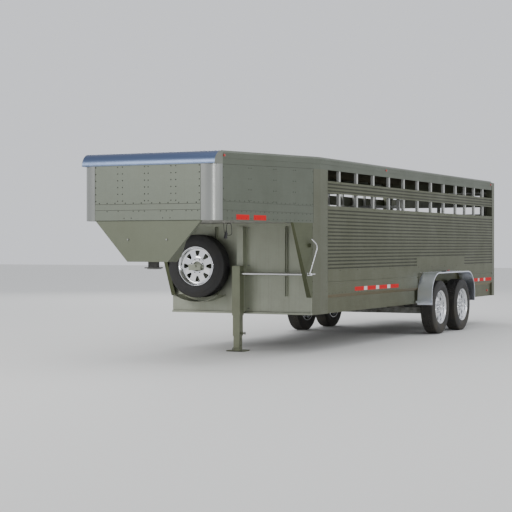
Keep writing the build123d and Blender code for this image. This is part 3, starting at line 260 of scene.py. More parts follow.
def bumpInto(tree, shader, height, strength, distance):
    bump = place(tree, "ShaderNodeBump")
    bump.inputs["Strength"].default_value = strength
    bump.inputs["Distance"].default_value = distance
    joinUp(tree, (height, bump.inputs["Height"]), (bump.outputs["Normal"], shader.inputs["Normal"]))


def aluminium(
    name, slotName, colour, dull, rough, clouding=0.6, streaks=0.5, line=1.1, grime=0.6, metallic=0.85,
):
    material, tree, shader = newFinish(name, slotName, metallic)
    worn = useGroup(tree, patina, Colour=colour, Dull=dull, Clouding=clouding, Streaks=streaks, Rough=rough)
    dirty = useGroup(
        tree, roadGrime, Colour=worn.outputs["Colour"], Rough=worn.outputs["Rough"], Line=line, Amount=grime,
    )
    joinUp(
        tree, (dirty.outputs["Colour"], shader.inputs["Base Color"]),
        (dirty.outputs["Rough"], shader.inputs["Roughness"]),
    )
    bumpInto(tree, shader, worn.outputs["Height"], 0.12, 0.002)
    return material


def plainMetal(
    name, slotName, colour, dark, rough, mottle=0.4, bump=0.1, metallic=1.0, grime=0.3, line=0.9, **sockets,
):
    material, tree, shader = newFinish(name, slotName, metallic, **sockets)
    grain = useGroup(tree, fineGrain, Colour=colour, Dark=dark, Rough=rough, Mottle=mottle)
    dirty = useGroup(
        tree, roadGrime, Colour=grain.outputs["Colour"],
        Rough=grain.outputs["Rough"], Line=line, Amount=grime,
    )
    joinUp(
        tree, (dirty.outputs["Colour"], shader.inputs["Base Color"]),
        (dirty.outputs["Rough"], shader.inputs["Roughness"]),
    )
    bumpInto(tree, shader, grain.outputs["Height"], bump, 0.001)
    return material


# slot, colour, dull colour, roughness, clouding, streaks, dust line, dust, metallic
sheetLooks = {
    "noseSheet": ("body_aluminium", (0.146, 0.164, 0.126), (0.121, 0.136, 0.103), 0.40, 0.5, 0.3, 0.5, 0.2),
    "neckSheet": ("body_aluminium", (0.186, 0.202, 0.150), (0.155, 0.167, 0.121), 0.38, 0.5, 0.25, 0.5, 0.2),
    "jackMetal": ("body_aluminium", (0.232, 0.249, 0.177), (0.197, 0.204, 0.146), 0.42, 0.5, 0.3, 1.0, 0.3),
    # frontSheet is a lighter copy of the nose's own aluminium (noseSheet): painted light on the face turned
    # to the lamps
    "frontSheet": ("body_aluminium", (0.216, 0.237, 0.196), (0.180, 0.195, 0.158), 0.38, 0.5, 0.25, 0.5, 0.2),
    "bulkheadSheet": (
        "body_aluminium", (0.362, 0.381, 0.309), (0.308, 0.321, 0.256), 0.42, 0.5, 0.3, 1.0, 0.3,
    ),
    "postMetal": ("body_aluminium", (0.153, 0.162, 0.114), (0.126, 0.132, 0.090), 0.38, 0.5, 0.3, 1.0, 0.35),
    "gussetMetal": ("body_aluminium", (0.119, 0.131, 0.077), (0.090, 0.100, 0.056), 0.40, 0.5, 0.3, 1.0, 0.3),
    "gateMetal": ("body_aluminium", (0.270, 0.280, 0.235), (0.215, 0.222, 0.180), 0.40, 0.5, 0.3, 1.0, 0.35),
    "innerMetal": ("body_aluminium", (0.58, 0.59, 0.56), (0.46, 0.47, 0.43), 0.46, 0.5, 0.3, 1.2, 0.45, 0.6),
    "floorMetal": ("floor_aluminium", (0.40, 0.40, 0.37), (0.27, 0.26, 0.22), 0.50, 0.8, 0.2, 1.2, 0.7, 0.8),
}
# slot, colour, dark colour, roughness, mottle, bump, metallic, dust, dust line
grainLooks = {
    "cornerMetal": (
        "bright_aluminium", (0.33, 0.34, 0.32), (0.315, 0.325, 0.305), 0.30, 0.2, 0.0, 0.95, 0.0, 0.5,
    ),
    # rivetMetal is far darker than the sheets it holds: painted shade, so each head shows as a dark dot
    "rivetMetal": ("body_aluminium", (0.060, 0.063, 0.050), (0.035, 0.036, 0.030), 0.45, 0.6, 0.1, 0.7, 0.2),
    # dark beads: dark joints, and painted shadow along panel steps
    "seamAndShadowLine": ("body_aluminium", (0.050, 0.052, 0.040), (0.085, 0.088, 0.070), 0.60, 0.6, 0.15, 0.2, 0.2),
    # fenderMetal: its blue tint is a painted sky reflection on the polished sheet
    "fenderMetal": (
        "polished_aluminium", (0.82, 0.86, 0.95), (0.74, 0.77, 0.86), 0.30, 0.2, 0.0, 1.0, 0.08, 0.6,
    ),
    "wheelMetal": (
        "polished_aluminium", (0.80, 0.81, 0.83), (0.70, 0.70, 0.70), 0.09, 0.15, 0.01, 1.0, 0.05, 0.3,
    ),
    "galvanised": ("steel", (0.33, 0.34, 0.32), (0.19, 0.19, 0.17), 0.42, 0.7, 0.25, 0.9, 0.6, 0.9),
    "darkSteel": ("steel", (0.085, 0.085, 0.080), (0.045, 0.042, 0.038), 0.46, 0.7, 0.3, 0.6, 0.6, 0.9),
    "chromePlate": ("chrome", (0.82, 0.83, 0.85), (0.62, 0.62, 0.62), 0.07, 0.3, 0.02, 1.0, 0.05),
    "tyreRubber": (
        "tyre_rubber", (0.020, 0.020, 0.021), (0.038, 0.036, 0.032), 0.62, 0.7, 0.3, 0.0, 0.45, 0.75,
    ),
    "cordRubber": ("cord_rubber", (0.014, 0.014, 0.015), (0.030, 0.030, 0.030), 0.50, 0.5, 0.2, 0.0, 0.0),
}
finishes = {name: aluminium(name, *look) for name, look in sheetLooks.items()}
finishes.update({name: plainMetal(name, *look) for name, look in grainLooks.items()})


def sideFinish():
    # the walls' dull metal, with painted shade in the grooves between the ribs and a painted warm reflection
    # on the rub rail's underside
    material, tree, shader = newFinish("sideSheet", "body_aluminium", 0.85)
    spot = place(tree, "ShaderNodeTexCoord")
    split = place(tree, "ShaderNodeSeparateXYZ")
    joinUp(tree, (spot.outputs["Object"], split.inputs["Vector"]))
    worn = useGroup(
        tree, patina, Colour=(0.139, 0.147, 0.093),
        Dull=(0.109, 0.115, 0.070), Clouding=0.5, Streaks=0.3, Rough=0.42,
    )
    dirty = useGroup(
        tree, roadGrime, Colour=worn.outputs["Colour"], Rough=worn.outputs["Rough"], Line=1.1, Amount=0.35,
    )
    out = sums(tree, "ABSOLUTE", split.outputs["Y"], 0.0)
    sunk = ramp(tree, out, body["halfWidth"] - 0.0055, body["halfWidth"] - 0.0008, 1.0, 0.0)
    aboveRub = sums(tree, "GREATER_THAN", split.outputs["Z"], 0.95)
    outside = sums(tree, "GREATER_THAN", out, body["halfWidth"] - 0.0075)
    # painted shade: the sunk grooves between the ribs are mixed towards near-black
    groove = sums(tree, "MULTIPLY", sums(tree, "MULTIPLY", sunk, aboveRub), outside)
    # painted warm reflection: the rub rail's downward face between z 0.635 and 0.674 is lightened to a warm
    # tan
    under = ramp(tree, split.outputs["Z"], 0.630, 0.640)
    under = sums(tree, "MULTIPLY", under, ramp(tree, split.outputs["Z"], 0.672, 0.676, 1.0, 0.0))
    colour = mixColour(
        tree, sums(tree, "MULTIPLY", groove, 0.82), dirty.outputs["Colour"], (0.030, 0.031, 0.020),
    )
    colour = mixColour(tree, sums(tree, "MULTIPLY", under, 0.55), colour, (0.240, 0.185, 0.105))
    joinUp(tree, (colour, shader.inputs["Base Color"]), (dirty.outputs["Rough"], shader.inputs["Roughness"]))
    bumpInto(tree, shader, worn.outputs["Height"], 0.08, 0.002)
    return material


def roofFinish():
    # pale sheet on top, with painted brown shade on the standing edges and every face that does not face up
    material, tree, shader = newFinish("roofSheet", "body_aluminium", 0.85)
    facing = place(tree, "ShaderNodeNewGeometry")
    split = place(tree, "ShaderNodeSeparateXYZ")
    joinUp(tree, (facing.outputs["Normal"], split.inputs["Vector"]))
    worn = useGroup(
        tree, patina, Colour=(0.46, 0.46, 0.43), Dull=(0.38, 0.38, 0.34),
        Clouding=0.6, Streaks=0.1, Rough=0.38,
    )
    # painted shade: faces turned away from the sky take a dark brown in place of the sheet's colour
    flat = ramp(tree, sums(tree, "ABSOLUTE", split.outputs["Z"], 0.0), 0.45, 0.85)
    colour = mixColour(tree, flat, (0.120, 0.112, 0.078), worn.outputs["Colour"])
    joinUp(tree, (colour, shader.inputs["Base Color"]), (worn.outputs["Rough"], shader.inputs["Roughness"]))
    bumpInto(tree, shader, worn.outputs["Height"], 0.12, 0.002)
    return material


def capFinish():
    # polished cap with a painted blue-grey sky reflection, fading darker upwards, with end plates in the
    # body's dull metal
    material, tree, shader = newFinish("capMetal", "polished_aluminium", 0.95)
    spot = place(tree, "ShaderNodeTexCoord")
    split = place(tree, "ShaderNodeSeparateXYZ")
    joinUp(tree, (spot.outputs["Object"], split.inputs["Vector"]))
    # painted reflection: the blue-grey of the sky, lighter at the lip and darker towards the top
    reflectionFade = ramp(tree, split.outputs["Z"], 2.134, 2.285)
    bright = mixColour(tree, reflectionFade, (0.150, 0.195, 0.290), (0.030, 0.052, 0.130))
    deep = mixColour(tree, reflectionFade, (0.140, 0.182, 0.272), (0.028, 0.048, 0.120))
    grain = useGroup(tree, fineGrain, Colour=bright, Dark=deep, Rough=0.30, Mottle=0.15)
    # distance of a point inside the tapered wall's plane
    slope = sums(tree, "MULTIPLY", sums(tree, "SUBTRACT", split.outputs["X"], body["bendX"]), body["taper"])
    side = sums(tree, "ADD", sums(tree, "ABSOLUTE", split.outputs["Y"], 0.0), slope)
    endPlate = sums(tree, "GREATER_THAN", side, body["halfWidth"] - 0.0015)
    worn = useGroup(
        tree, patina, Colour=(0.255, 0.268, 0.225),
        Dull=(0.205, 0.215, 0.178), Clouding=0.5, Streaks=0.2, Rough=0.40,
    )
    colour = mixColour(tree, endPlate, grain.outputs["Colour"], worn.outputs["Colour"])
    joinUp(tree, (colour, shader.inputs["Base Color"]), (grain.outputs["Rough"], shader.inputs["Roughness"]))
    bumpInto(tree, shader, grain.outputs["Height"], 0.03, 0.001)
    return material


def lensFinish():
    # red lens with fine prism ribs inside
    material, tree, shader = newFinish("redLens", "red_lens", 0.0, Coat_Weight=0.6, Coat_Roughness=0.05)
    spot = place(tree, "ShaderNodeTexCoord")
    prisms = place(tree, "ShaderNodeTexVoronoi", feature="F1", distance="CHEBYCHEV")
    prisms.inputs["Scale"].default_value = 260.0
    joinUp(tree, (spot.outputs["Object"], prisms.inputs["Vector"]))
    grain = useGroup(
        tree, fineGrain, Colour=(0.42, 0.012, 0.010), Dark=(0.20, 0.006, 0.006), Rough=0.16, Mottle=0.5,
    )
    cells = ramp(tree, prisms.outputs["Distance"], 0.0, 0.7)
    colour = mixColour(tree, cells, grain.outputs["Colour"], (0.60, 0.03, 0.02))
    # the fender lamps' brackets are black
    split = place(tree, "ShaderNodeSeparateXYZ")
    joinUp(tree, (spot.outputs["Object"], split.inputs["Vector"]))
    out = sums(tree, "ABSOLUTE", split.outputs["Y"], 0.0)
    low = sums(tree, "LESS_THAN", split.outputs["Z"], 0.9025)
    low = sums(tree, "MULTIPLY", low, sums(tree, "GREATER_THAN", split.outputs["Z"], 0.887))
    bracket = sums(tree, "MULTIPLY", low, sums(tree, "GREATER_THAN", out, 1.0))
    colour = mixColour(tree, bracket, colour, (0.018, 0.018, 0.018))
    joinUp(tree, (colour, shader.inputs["Base Color"]), (grain.outputs["Rough"], shader.inputs["Roughness"]))
    bumpInto(tree, shader, cells, 0.3, 0.001)
    return material


def tapeFinish():
    # retroreflective tape: red and pale blocks by station, over a fine hexagonal cell pattern
    material, tree, shader = newFinish("safetyTape", "tape", 0.0, Specular_IOR_Level=0.15)
    spot = place(tree, "ShaderNodeTexCoord")
    split = place(tree, "ShaderNodeSeparateXYZ")
    cells = place(tree, "ShaderNodeTexVoronoi", feature="DISTANCE_TO_EDGE")
    cells.inputs["Scale"].default_value = 300.0
    joinUp(
        tree, (spot.outputs["Object"], split.inputs["Vector"]),
        (spot.outputs["Object"], cells.inputs["Vector"]),
    )
    white = None
    for low, high in paleBlocks:
        over = sums(tree, "GREATER_THAN", split.outputs["X"], low)
        under = sums(tree, "LESS_THAN", split.outputs["X"], high)
        inside = sums(tree, "MULTIPLY", over, under)
        white = inside if white is None else sums(tree, "MAXIMUM", white, inside)
    base = mixColour(tree, white, (0.62, 0.004, 0.006), (0.66, 0.68, 0.66))
    grain = useGroup(tree, fineGrain, Colour=base, Dark=(0.50, 0.005, 0.006), Rough=0.55, Mottle=0.10)
    lines = ramp(tree, cells.outputs["Distance"], 0.0, 0.10, 0.15, 0.0)
    colour = mixColour(tree, lines, grain.outputs["Colour"], (0.30, 0.02, 0.02))
    joinUp(tree, (colour, shader.inputs["Base Color"]), (grain.outputs["Rough"], shader.inputs["Roughness"]))
    bumpInto(tree, shader, cells.outputs["Distance"], 0.15, 0.001)
    return material


tapeStations = (-1.089, -1.400, -1.515, -1.825, -1.938, -2.239, -2.356, -2.677)  # behind the bend
rearStations = (-6.100, -6.320, -6.400, -6.640, -6.720, -7.060)
paleBlocks = [
    (body["bendX"] + places[i + 1], body["bendX"] + places[i])
    for places in (tapeStations, rearStations) for i in range(1, len(places) - 1, 2)
]
finishes["sideSheet"] = sideFinish()
finishes["roofSheet"] = roofFinish()
finishes["capMetal"] = capFinish()
finishes["redLens"] = lensFinish()
finishes["safetyTape"] = tapeFinish()

nodeFinish = {
    "sideSheet": ["ribbed_sides", "mid_rails", "rub_rails", "side_sills"],
    "noseSheet": ["nose_sides", "top_rails"],
    "frontSheet": ["nose_front_panel"],
    "neckSheet": ["gooseneck_frame"],
    "jackMetal": ["jack_outer_tube", "jack_inner_tube", "jack_drop_leg"],
    "bulkheadSheet": ["bulkhead", "spare_carrier"],
    "postMetal": ["front_corner_posts", "rear_frame"],
    "gateMetal": ["rear_gate", "half_door"],
    "gussetMetal": ["gussets"],
    "roofSheet": ["roof_skin", "roof_bows"],
    "innerMetal": ["wall_posts", "centre_gate"],
    "cornerMetal": ["nose_corner_posts"],
    "capMetal": ["nose_cap"],
    "fenderMetal": ["fenders"],
    "wheelMetal": ["wheel_spare"] + [f"wheel_{c}" for c in corners],
    "floorMetal": ["floor_frame", "floor_planks", "nose_deck"],
    "galvanised": ["axle_beams", "gate_hinge_pins", "gate_bolt", "jack_pin", "coupler_lock", "neck_bolts"]
    + [f"torsion_arm_{c}" for c in corners],
    "darkSteel": ["coupler_socket", "jack_screw"],
    "chromePlate": ["crank_shaft", "crank_handle"] + [f"hub_{c}" for c in corners],
    "tyreRubber": ["tyre_spare"] + [f"tyre_{c}" for c in corners],
    "cordRubber": ["light_cord", "cord_plug"],
    "redLens": ["lamps"],
    "safetyTape": ["reflective_tape"],
}
for finishName, members in nodeFinish.items():
    for member in members:
        shape = nodes[member]
        shape.data.materials.clear()
        shape.data.materials.append(finishes[finishName])
missed = set(nodes) - {n for members in nodeFinish.values() for n in members}
assert not missed, missed
print("stage: finishes")


def settle(shape, name, finishName, bodyName, replaced=()):
    # a finished mesh: named, in the scene, riding on its body
    shape.name = name
    if shape.name not in bpy.context.scene.collection.objects:
        bpy.context.scene.collection.objects.link(shape)
    if not shape.data.materials:
        shape.data.materials.append(finishes[finishName])
    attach(shape, bodyName)
    if replaced:
        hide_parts(*replaced)
    return shape


def fromBmesh(mesh, name, smoothUnder=0.6):
    bmesh.ops.recalc_face_normals(mesh, faces=mesh.faces)
    data = bpy.data.meshes.new(name)
    mesh.to_mesh(data)
    mesh.free()
    data.shade_smooth()
    shape = bpy.data.objects.new(name, data)
    bpy.context.scene.collection.objects.link(shape)
    data.set_sharp_from_angle(angle=smoothUnder)
    return shape


def bakeNodes(shape, name):
    # turn an object's live Geometry Nodes result into a plain mesh
    bpy.context.view_layer.update()
    evaluated = shape.evaluated_get(bpy.context.evaluated_depsgraph_get())
    data = bpy.data.meshes.new_from_object(evaluated)
    data.name = name
    for modifier in list(shape.modifiers):
        shape.modifiers.remove(modifier)
    bpy.data.objects.remove(shape)
    return bpy.data.objects.new(name, data)


def giveInputs(modifier, tree, values):
    for item in tree.interface.items_tree:
        if getattr(item, "in_out", "") == "INPUT" and item.name in values:
            modifier[item.identifier] = values[item.name]


# the cord hangs in a loop over its hook
cordSettings = {
    "points": [
        (4.3975, 0.695, 1.516), (4.3975, 0.695, 1.462), (4.3775, 0.698, 1.384), (4.3765, 0.783, 1.380),
        (4.3895, 0.788, 1.446), (4.3975, 0.786, 1.510), (4.3995, 0.733, 1.514), (4.4055, 0.735, 1.462),
        (4.4075, 0.732, 1.432),
    ],
    "diameter": 0.007, "length": 0.440,
}


def makeCord():
    points = cordSettings["points"]
    data = bpy.data.curves.new("lightCord", "CURVE")
    data.dimensions = "3D"
    data.bevel_depth = cordSettings["diameter"] / 2
    data.bevel_resolution = 4
    data.resolution_u = 12
    data.use_fill_caps = True
    spline = data.splines.new("NURBS")
    spline.points.add(len(points) - 1)
    for knot, at in zip(spline.points, points):
        knot.co = (*at, 1.0)
    spline.order_u = 3
    spline.use_endpoint_u = True
    cord = bpy.data.objects.new("lightCord", data)
    settle(cord, "lightCord", "cordRubber", "trailer", ["light_cord"])


makeCord()
print("stage: cord")


def makeRivetTree():
    # domed heads along every edge of a mesh, pointing along its 'outward' attribute
    tree = bpy.data.node_groups.new("rivetRows", "GeometryNodeTree")
    face = tree.interface
    face.new_socket("Rows", in_out="INPUT", socket_type="NodeSocketGeometry")
    for label, value in (("Pitch", 0.06), ("Head Radius", 0.006), ("Head Height", 0.0025)):
        socket = face.new_socket(label, in_out="INPUT", socket_type="NodeSocketFloat")
        socket.default_value = value
    face.new_socket("Finish", in_out="INPUT", socket_type="NodeSocketMaterial")
    face.new_socket("Heads", in_out="OUTPUT", socket_type="NodeSocketGeometry")
    given, out = place(tree, "NodeGroupInput"), place(tree, "NodeGroupOutput")
    curve = place(tree, "GeometryNodeMeshToCurve")
    spaced = place(tree, "GeometryNodeResampleCurve", mode="LENGTH")
    head = place(tree, "GeometryNodeMeshUVSphere")
    head.inputs["Segments"].default_value = 8
    head.inputs["Rings"].default_value = 4
    size = place(tree, "ShaderNodeCombineXYZ")
    flat = place(tree, "GeometryNodeTransform")
    way = place(tree, "GeometryNodeInputNamedAttribute", data_type="FLOAT_VECTOR")
    way.inputs["Name"].default_value = "outward"
    turn = place(tree, "FunctionNodeAlignRotationToVector", axis="Z")
    put = place(tree, "GeometryNodeInstanceOnPoints")
    real = place(tree, "GeometryNodeRealizeInstances")
    smooth = place(tree, "GeometryNodeSetShadeSmooth")
    paint = place(tree, "GeometryNodeSetMaterial")
    joinUp(
        tree,
        (given.outputs["Rows"], curve.inputs["Mesh"]), (curve.outputs["Curve"], spaced.inputs["Curve"]),
        (given.outputs["Pitch"], spaced.inputs["Length"]), (spaced.outputs["Curve"], put.inputs["Points"]),
        (given.outputs["Head Radius"], size.inputs["X"]), (given.outputs["Head Radius"], size.inputs["Y"]),
        (given.outputs["Head Height"], size.inputs["Z"]), (size.outputs["Vector"], flat.inputs["Scale"]),
        (head.outputs["Mesh"], flat.inputs["Geometry"]), (flat.outputs["Geometry"], put.inputs["Instance"]),
        (way.outputs["Attribute"], turn.inputs["Vector"]), (turn.outputs["Rotation"], put.inputs["Rotation"]),
        (put.outputs["Instances"], real.inputs["Geometry"]),
        (real.outputs["Geometry"], smooth.inputs["Geometry"]),
        (smooth.outputs["Geometry"], paint.inputs["Geometry"]),
        (given.outputs["Finish"], paint.inputs["Material"]),
        (paint.outputs["Geometry"], out.inputs["Heads"]),
    )
    return tree


rivetTree = makeRivetTree()


def rivetPiece(name, rows, pitch, radius, height, finishName, bodyName="trailer"):
    # rows: (start, end, outward) for each straight row
    data = bpy.data.meshes.new(name)
    spots, edges, ways = [], [], []
    for start, end, outward in rows:
        edges.append((len(spots), len(spots) + 1))
        spots += [start, end]
        ways += [Vector(outward).normalized()] * 2
    data.from_pydata(spots, edges, [])
    attribute = data.attributes.new("outward", "FLOAT_VECTOR", "POINT")
    attribute.data.foreach_set("vector", [c for way in ways for c in way])
    shape = bpy.data.objects.new(name, data)
    bpy.context.scene.collection.objects.link(shape)
    modifier = shape.modifiers.new("rows", "NODES")
    modifier.node_group = rivetTree
    giveInputs(
        modifier, rivetTree,
        {"Pitch": pitch, "Head Radius": radius, "Head Height": height, "Finish": finishes[finishName]},
    )
    return settle(bakeNodes(shape, name), name, finishName, bodyName)


def mirrored(rows):
    # the same rows on the other side of the trailer
    return rows + [tuple((x, -y, z) for x, y, z in row) for row in rows]


noseRivets = {
    "columns": (-0.645, -0.366, -0.306, -0.029, 0.016, 0.295, 0.354, 0.638),
    "columnZ": (1.752, 2.118), "pitch": 0.0625, "radius": 0.0075, "height": 0.0026,
    "railZ": 1.728, "railRuns": ((-0.60, -0.40), (-0.27, -0.07), (0.06, 0.26), (0.39, 0.60)),
    "railPitch": 0.095,
    "bandZ": 1.640, "bandY": (-0.43, -0.10, 0.24, 0.55), "bandPitch": 0.07, "bandRadius": 0.0065,
    "boltZ": 1.566, "boltY": (-0.24, 0.24),
}


def makeNoseRivets():
    rivets = noseRivets
    face, outward = body["noseFace"], (1, 0, 0)
    panel = face - 0.002
    low, high = rivets["columnZ"]
    columns = [((panel, y, low), (panel, y, high), outward) for y in rivets["columns"]]
    rivetPiece("noseFrontRivets", columns, rivets["pitch"], rivets["radius"], rivets["height"], "rivetMetal")
    rail = [
        ((panel, left, rivets["railZ"]), (panel, right, rivets["railZ"]), outward)
        for left, right in rivets["railRuns"]
    ]
    rivetPiece("noseRailRivets", rail, rivets["railPitch"], rivets["radius"], rivets["height"], "rivetMetal")
    band = [
        ((face, y - reach, z), (face, y + reach, z), outward)
        for places, z, reach in (
            (rivets["bandY"], rivets["bandZ"], 0.07), (rivets["boltY"], rivets["boltZ"], 0.045),
        )
        for y in places
    ]
    rivetPiece(
        "noseBandRivets", band, rivets["bandPitch"], rivets["bandRadius"], rivets["height"], "rivetMetal",
    )


sideRivets = {
    "pairs": ((1.731, 1.681), (1.165, 1.113), (0.697, 0.645)), "edges": (0.205, 2.268),
    "low": 1.762, "pitch": 0.10, "radius": 0.0068, "height": 0.0024, "topGap": 0.03, "lowRow": 1.752,
    "bands": (1.565, 1.640), "ends": (0.26, 2.24),
    "smallRadius": 0.0052, "smallHeight": 0.0020, "postPitch": 0.024, "railPitch": 0.105,
    "postSill": 0.966, "postRails": (1.735, 1.918, 2.044),
}


def makeSideRivets():
    rivets, bend, y = sideRivets, body["bendX"], body["halfWidth"]
    slope, out = (body["taper"], 1, 0), (0, 1, 0)
    rows = []
    for station in [s for pair in rivets["pairs"] for s in pair] + list(rivets["edges"]):
        x = bend + station
        rows.append(((x, wallY(x), rivets["low"]), (x, wallY(x), railZ(x) - rivets["topGap"]), slope))
    near, far = (bend + station for station in rivets["ends"])
    rows.append(((near, wallY(near), rivets["lowRow"]), (far, wallY(far), rivets["lowRow"]), slope))
    far -= 0.05
    rows += [((near, wallY(near), z), (far, wallY(far), z), slope) for z in rivets["bands"]]
    rivetPiece(
        "noseSideRivets", mirrored(rows), rivets["pitch"], rivets["radius"], rivets["height"], "rivetMetal",
    )
    posts = [bend - 0.613 - 0.5764 * i for i in range(9)] + [bend - 5.691 - 0.469 * i for i in range(3)]
    rows = [((x - 0.012, y, rivets["postSill"]), (x + 0.012, y, rivets["postSill"]), out) for x in posts]
    for x in posts:  # pairs on the rails where each post is fixed
        rows += [((x - 0.012, y, z), (x + 0.012, y, z), out) for z in rivets["postRails"]]
    small = (rivets["smallRadius"], rivets["smallHeight"])
    rivetPiece("postRivets", mirrored(rows), rivets["postPitch"], *small, "rivetMetal")
    rail = [
        ((-4.66, y, 2.292), (bend - 0.02, y, 2.292), out), ((-4.66, y, 0.700), (bend - 5.46, y, 0.700), out),
        ((bend - 3.42, y, 0.690), (bend - 0.26, y, 0.690), out),
        ((bend - 0.19, y, 0.50), (bend - 0.19, y, 2.15), out),
    ]
    rivetPiece("railRivets", mirrored(rail), rivets["railPitch"], *small, "rivetMetal")


# places of the screws and rivets on the bulkhead, gussets, roof and fenders; pitch, radius, height
otherRivets = {
    "screwZ": (1.487, 1.031, 0.512), "screw": (0.02, 0.0085, 0.0050),
    "gussetX": 0.205, "gussetZ": (0.72, 1.48), "gusset": (0.12, 0.0060, 0.0022),
    "roofZ": 2.333, "roofY": 0.885, "bowY": 0.86, "bowPitch": 0.60,
    "bows": 11, "roof": (0.15, 0.0055, 0.0010),
    "fender": (0.12, 0.0060, 0.0022), "fenderX": (-2.95, -1.15), "fenderY": 0.973, "fenderZ": 0.888,
}


def makeOtherRivets():
    rivets, bend, x = otherRivets, body["bendX"], body["bulkheadX"]
    screws = [((x, 0.098, z), (x + 0.0001, 0.110, z), (1, 0, 0)) for z in rivets["screwZ"]]
    rivetPiece("bulkheadScrews", screws, *rivets["screw"], "galvanised")
    x = bend + rivets["gussetX"]
    low, high = rivets["gussetZ"]
    rows = [((x, wallY(x), low), (x, wallY(x), high), (body["taper"], 1, 0))]
    rivetPiece("gussetRivets", mirrored(rows), *rivets["gusset"], "rivetMetal")
    z, up = rivets["roofZ"], (0, 0, 1)
    rows = [((-4.80, y, z), (bend, y, z), up) for y in (-rivets["roofY"], rivets["roofY"])]
    bows = [bend - rivets["bowPitch"] * i - 0.03 for i in range(1, rivets["bows"] + 1)]
    rows += [((x, -rivets["bowY"], z), (x, rivets["bowY"], z), up) for x in bows]
    rivetPiece("roofRivets", rows, *rivets["roof"], "roofSheet")
    rear, front = rivets["fenderX"]
    rows = [((rear, rivets["fenderY"], rivets["fenderZ"]), (front, rivets["fenderY"], rivets["fenderZ"]), up)]
    rivetPiece("fenderRivets", mirrored(rows), *rivets["fender"], "fenderMetal")


makeNoseRivets()
makeSideRivets()
makeOtherRivets()
print("stage: rivets")

# a dark half-round bead along each seam: partly a dark joint, partly a painted shadow line under a panel step
seamSettings = {"radius": 0.0022, "sides": 6}


def beadPiece(name, runs, radius, finishName="seamAndShadowLine", bodyName="trailer"):
    # one closed half-round bead for each (start, end, outward)
    mesh = bmesh.new()
    sides = seamSettings["sides"]
    for start, end, outward in runs:
        along = (Vector(end) - Vector(start)).normalized()
        out = Vector(outward).normalized()
        across = along.cross(out)
        rings = []
        for spot in (start, end):
            ring = []
            for i in range(sides + 1):
                turn = math.pi * i / sides
                offset = across * (math.cos(turn) * radius) + out * (math.sin(turn) * radius)
                ring.append(mesh.verts.new(Vector(spot) + offset))
            ring.append(mesh.verts.new(Vector(spot) - out * radius))
            rings.append(ring)
        count = len(rings[0])
        for i in range(count):
            k = (i + 1) % count
            mesh.faces.new((rings[0][i], rings[0][k], rings[1][k], rings[1][i]))
        mesh.faces.new(rings[0])
        mesh.faces.new(rings[1][::-1])
    return settle(fromBmesh(mesh, name, 0.9), name, finishName, bodyName)


def makeSeams():
    face, edge = body["noseFace"] - 0.0005, 0.654
    ahead = (1, 0, 0)
    # the line at 1.716 is a painted shadow under a panel step
    runs = [((face, -edge, z), (face, edge, z), ahead) for z in (1.5405, 1.652, 1.716)]
    runs += [((face - 0.001, y, 1.542), (face - 0.001, y, 2.132), ahead) for y in (-edge, edge)]
    beadPiece("noseFrontSeams", runs, seamSettings["radius"])
    # the bulkhead bead is a painted shadow line at the top edge of its flange
    foot = body["bulkheadX"] + 0.0218
    beadPiece("bulkheadSeam", [((foot, -0.93, 0.4735), (foot, 0.93, 0.4735), ahead)], 0.002)
    slope = (body["taper"], 1, 0)
    near, far = body["cornerX"] + 0.002, body["noseSideEnd"]
    sunk = 0.0005
    runs = [((near, wallY(near) - sunk, z), (far, wallY(far) - sunk, z), slope) for z in (1.652, 1.740)]
    for x, top in ((near, railZ(near)), (far, 2.132)):
        runs.append(((x, wallY(x) - sunk, 1.542), (x, wallY(x) - sunk, top), slope))
    runs.append(((near, wallY(near) - sunk, railZ(near)), (far, wallY(far) - sunk, railZ(far)), slope))
    beadPiece("noseSideSeams", mirrored(runs), 0.0018)
    y = body["halfWidth"] - sunk
    rear = body["bendX"] - 0.221
    runs = [
        ((rear, y, 0.836), (rear, y, 2.187), (0, 1, 0)),
        ((-4.6965, y, 0.836), (-4.6965, y, 2.187), (0, 1, 0)),
    ]
    beadPiece("wallSeams", mirrored(runs), 0.0018)


makeSeams()
print("stage: seams")

# tyre sizes: radii from the axle, ribs set off along it
tyreSettings = {
    "crown": 0.3831, "half": 0.1025, "bead": 0.2225, "treadHalf": 0.076, "segments": 96,
    "ribs": (-0.063, -0.032, 0.0, 0.032, 0.063), "blocks": 66, "blockHigh": 0.0095, "blockWide": 0.0235,
    "groove": 0.006,
}


def tyreProfile():
    # outside, from one bead over the crown to the other, then back along the liner: (axial, radius)
    crown, half, bead = tyreSettings["crown"], tyreSettings["half"], tyreSettings["bead"]
    floorRadius = crown - tyreSettings["blockHigh"] + 0.001
    side = [
        (0.074, bead), (0.0795, bead + 0.004), (0.0805, bead + 0.010),
        (0.0870, bead + 0.016), (0.0900, bead + 0.022),
        (0.0895, bead + 0.026), (0.0935, bead + 0.034), (0.0985, bead + 0.052), (0.1012, bead + 0.070),
        (half, bead + 0.080), (0.1020, bead + 0.092), (0.1022, bead + 0.094), (0.1022, bead + 0.098),
        (0.1005, bead + 0.100), (0.0975, bead + 0.120), (0.0930, crown - 0.022), (0.0885, crown - 0.0125),
        (0.0855, crown - 0.0060), (0.0800, crown - 0.0015), (0.0760, floorRadius),
    ]
    liner = [
        (-0.058, bead), (-0.080, bead + 0.030), (-half + 0.011, bead + 0.080), (-0.0895, bead + 0.115),
        (-0.078, crown - 0.024),
    ]
    profile = side + [(0.04, floorRadius), (0.0, floorRadius), (-0.04, floorRadius)]
    profile += [(-a, r) for a, r in reversed(side)]
    profile += liner + [(-a, r) for a, r in reversed(liner)]
    return profile


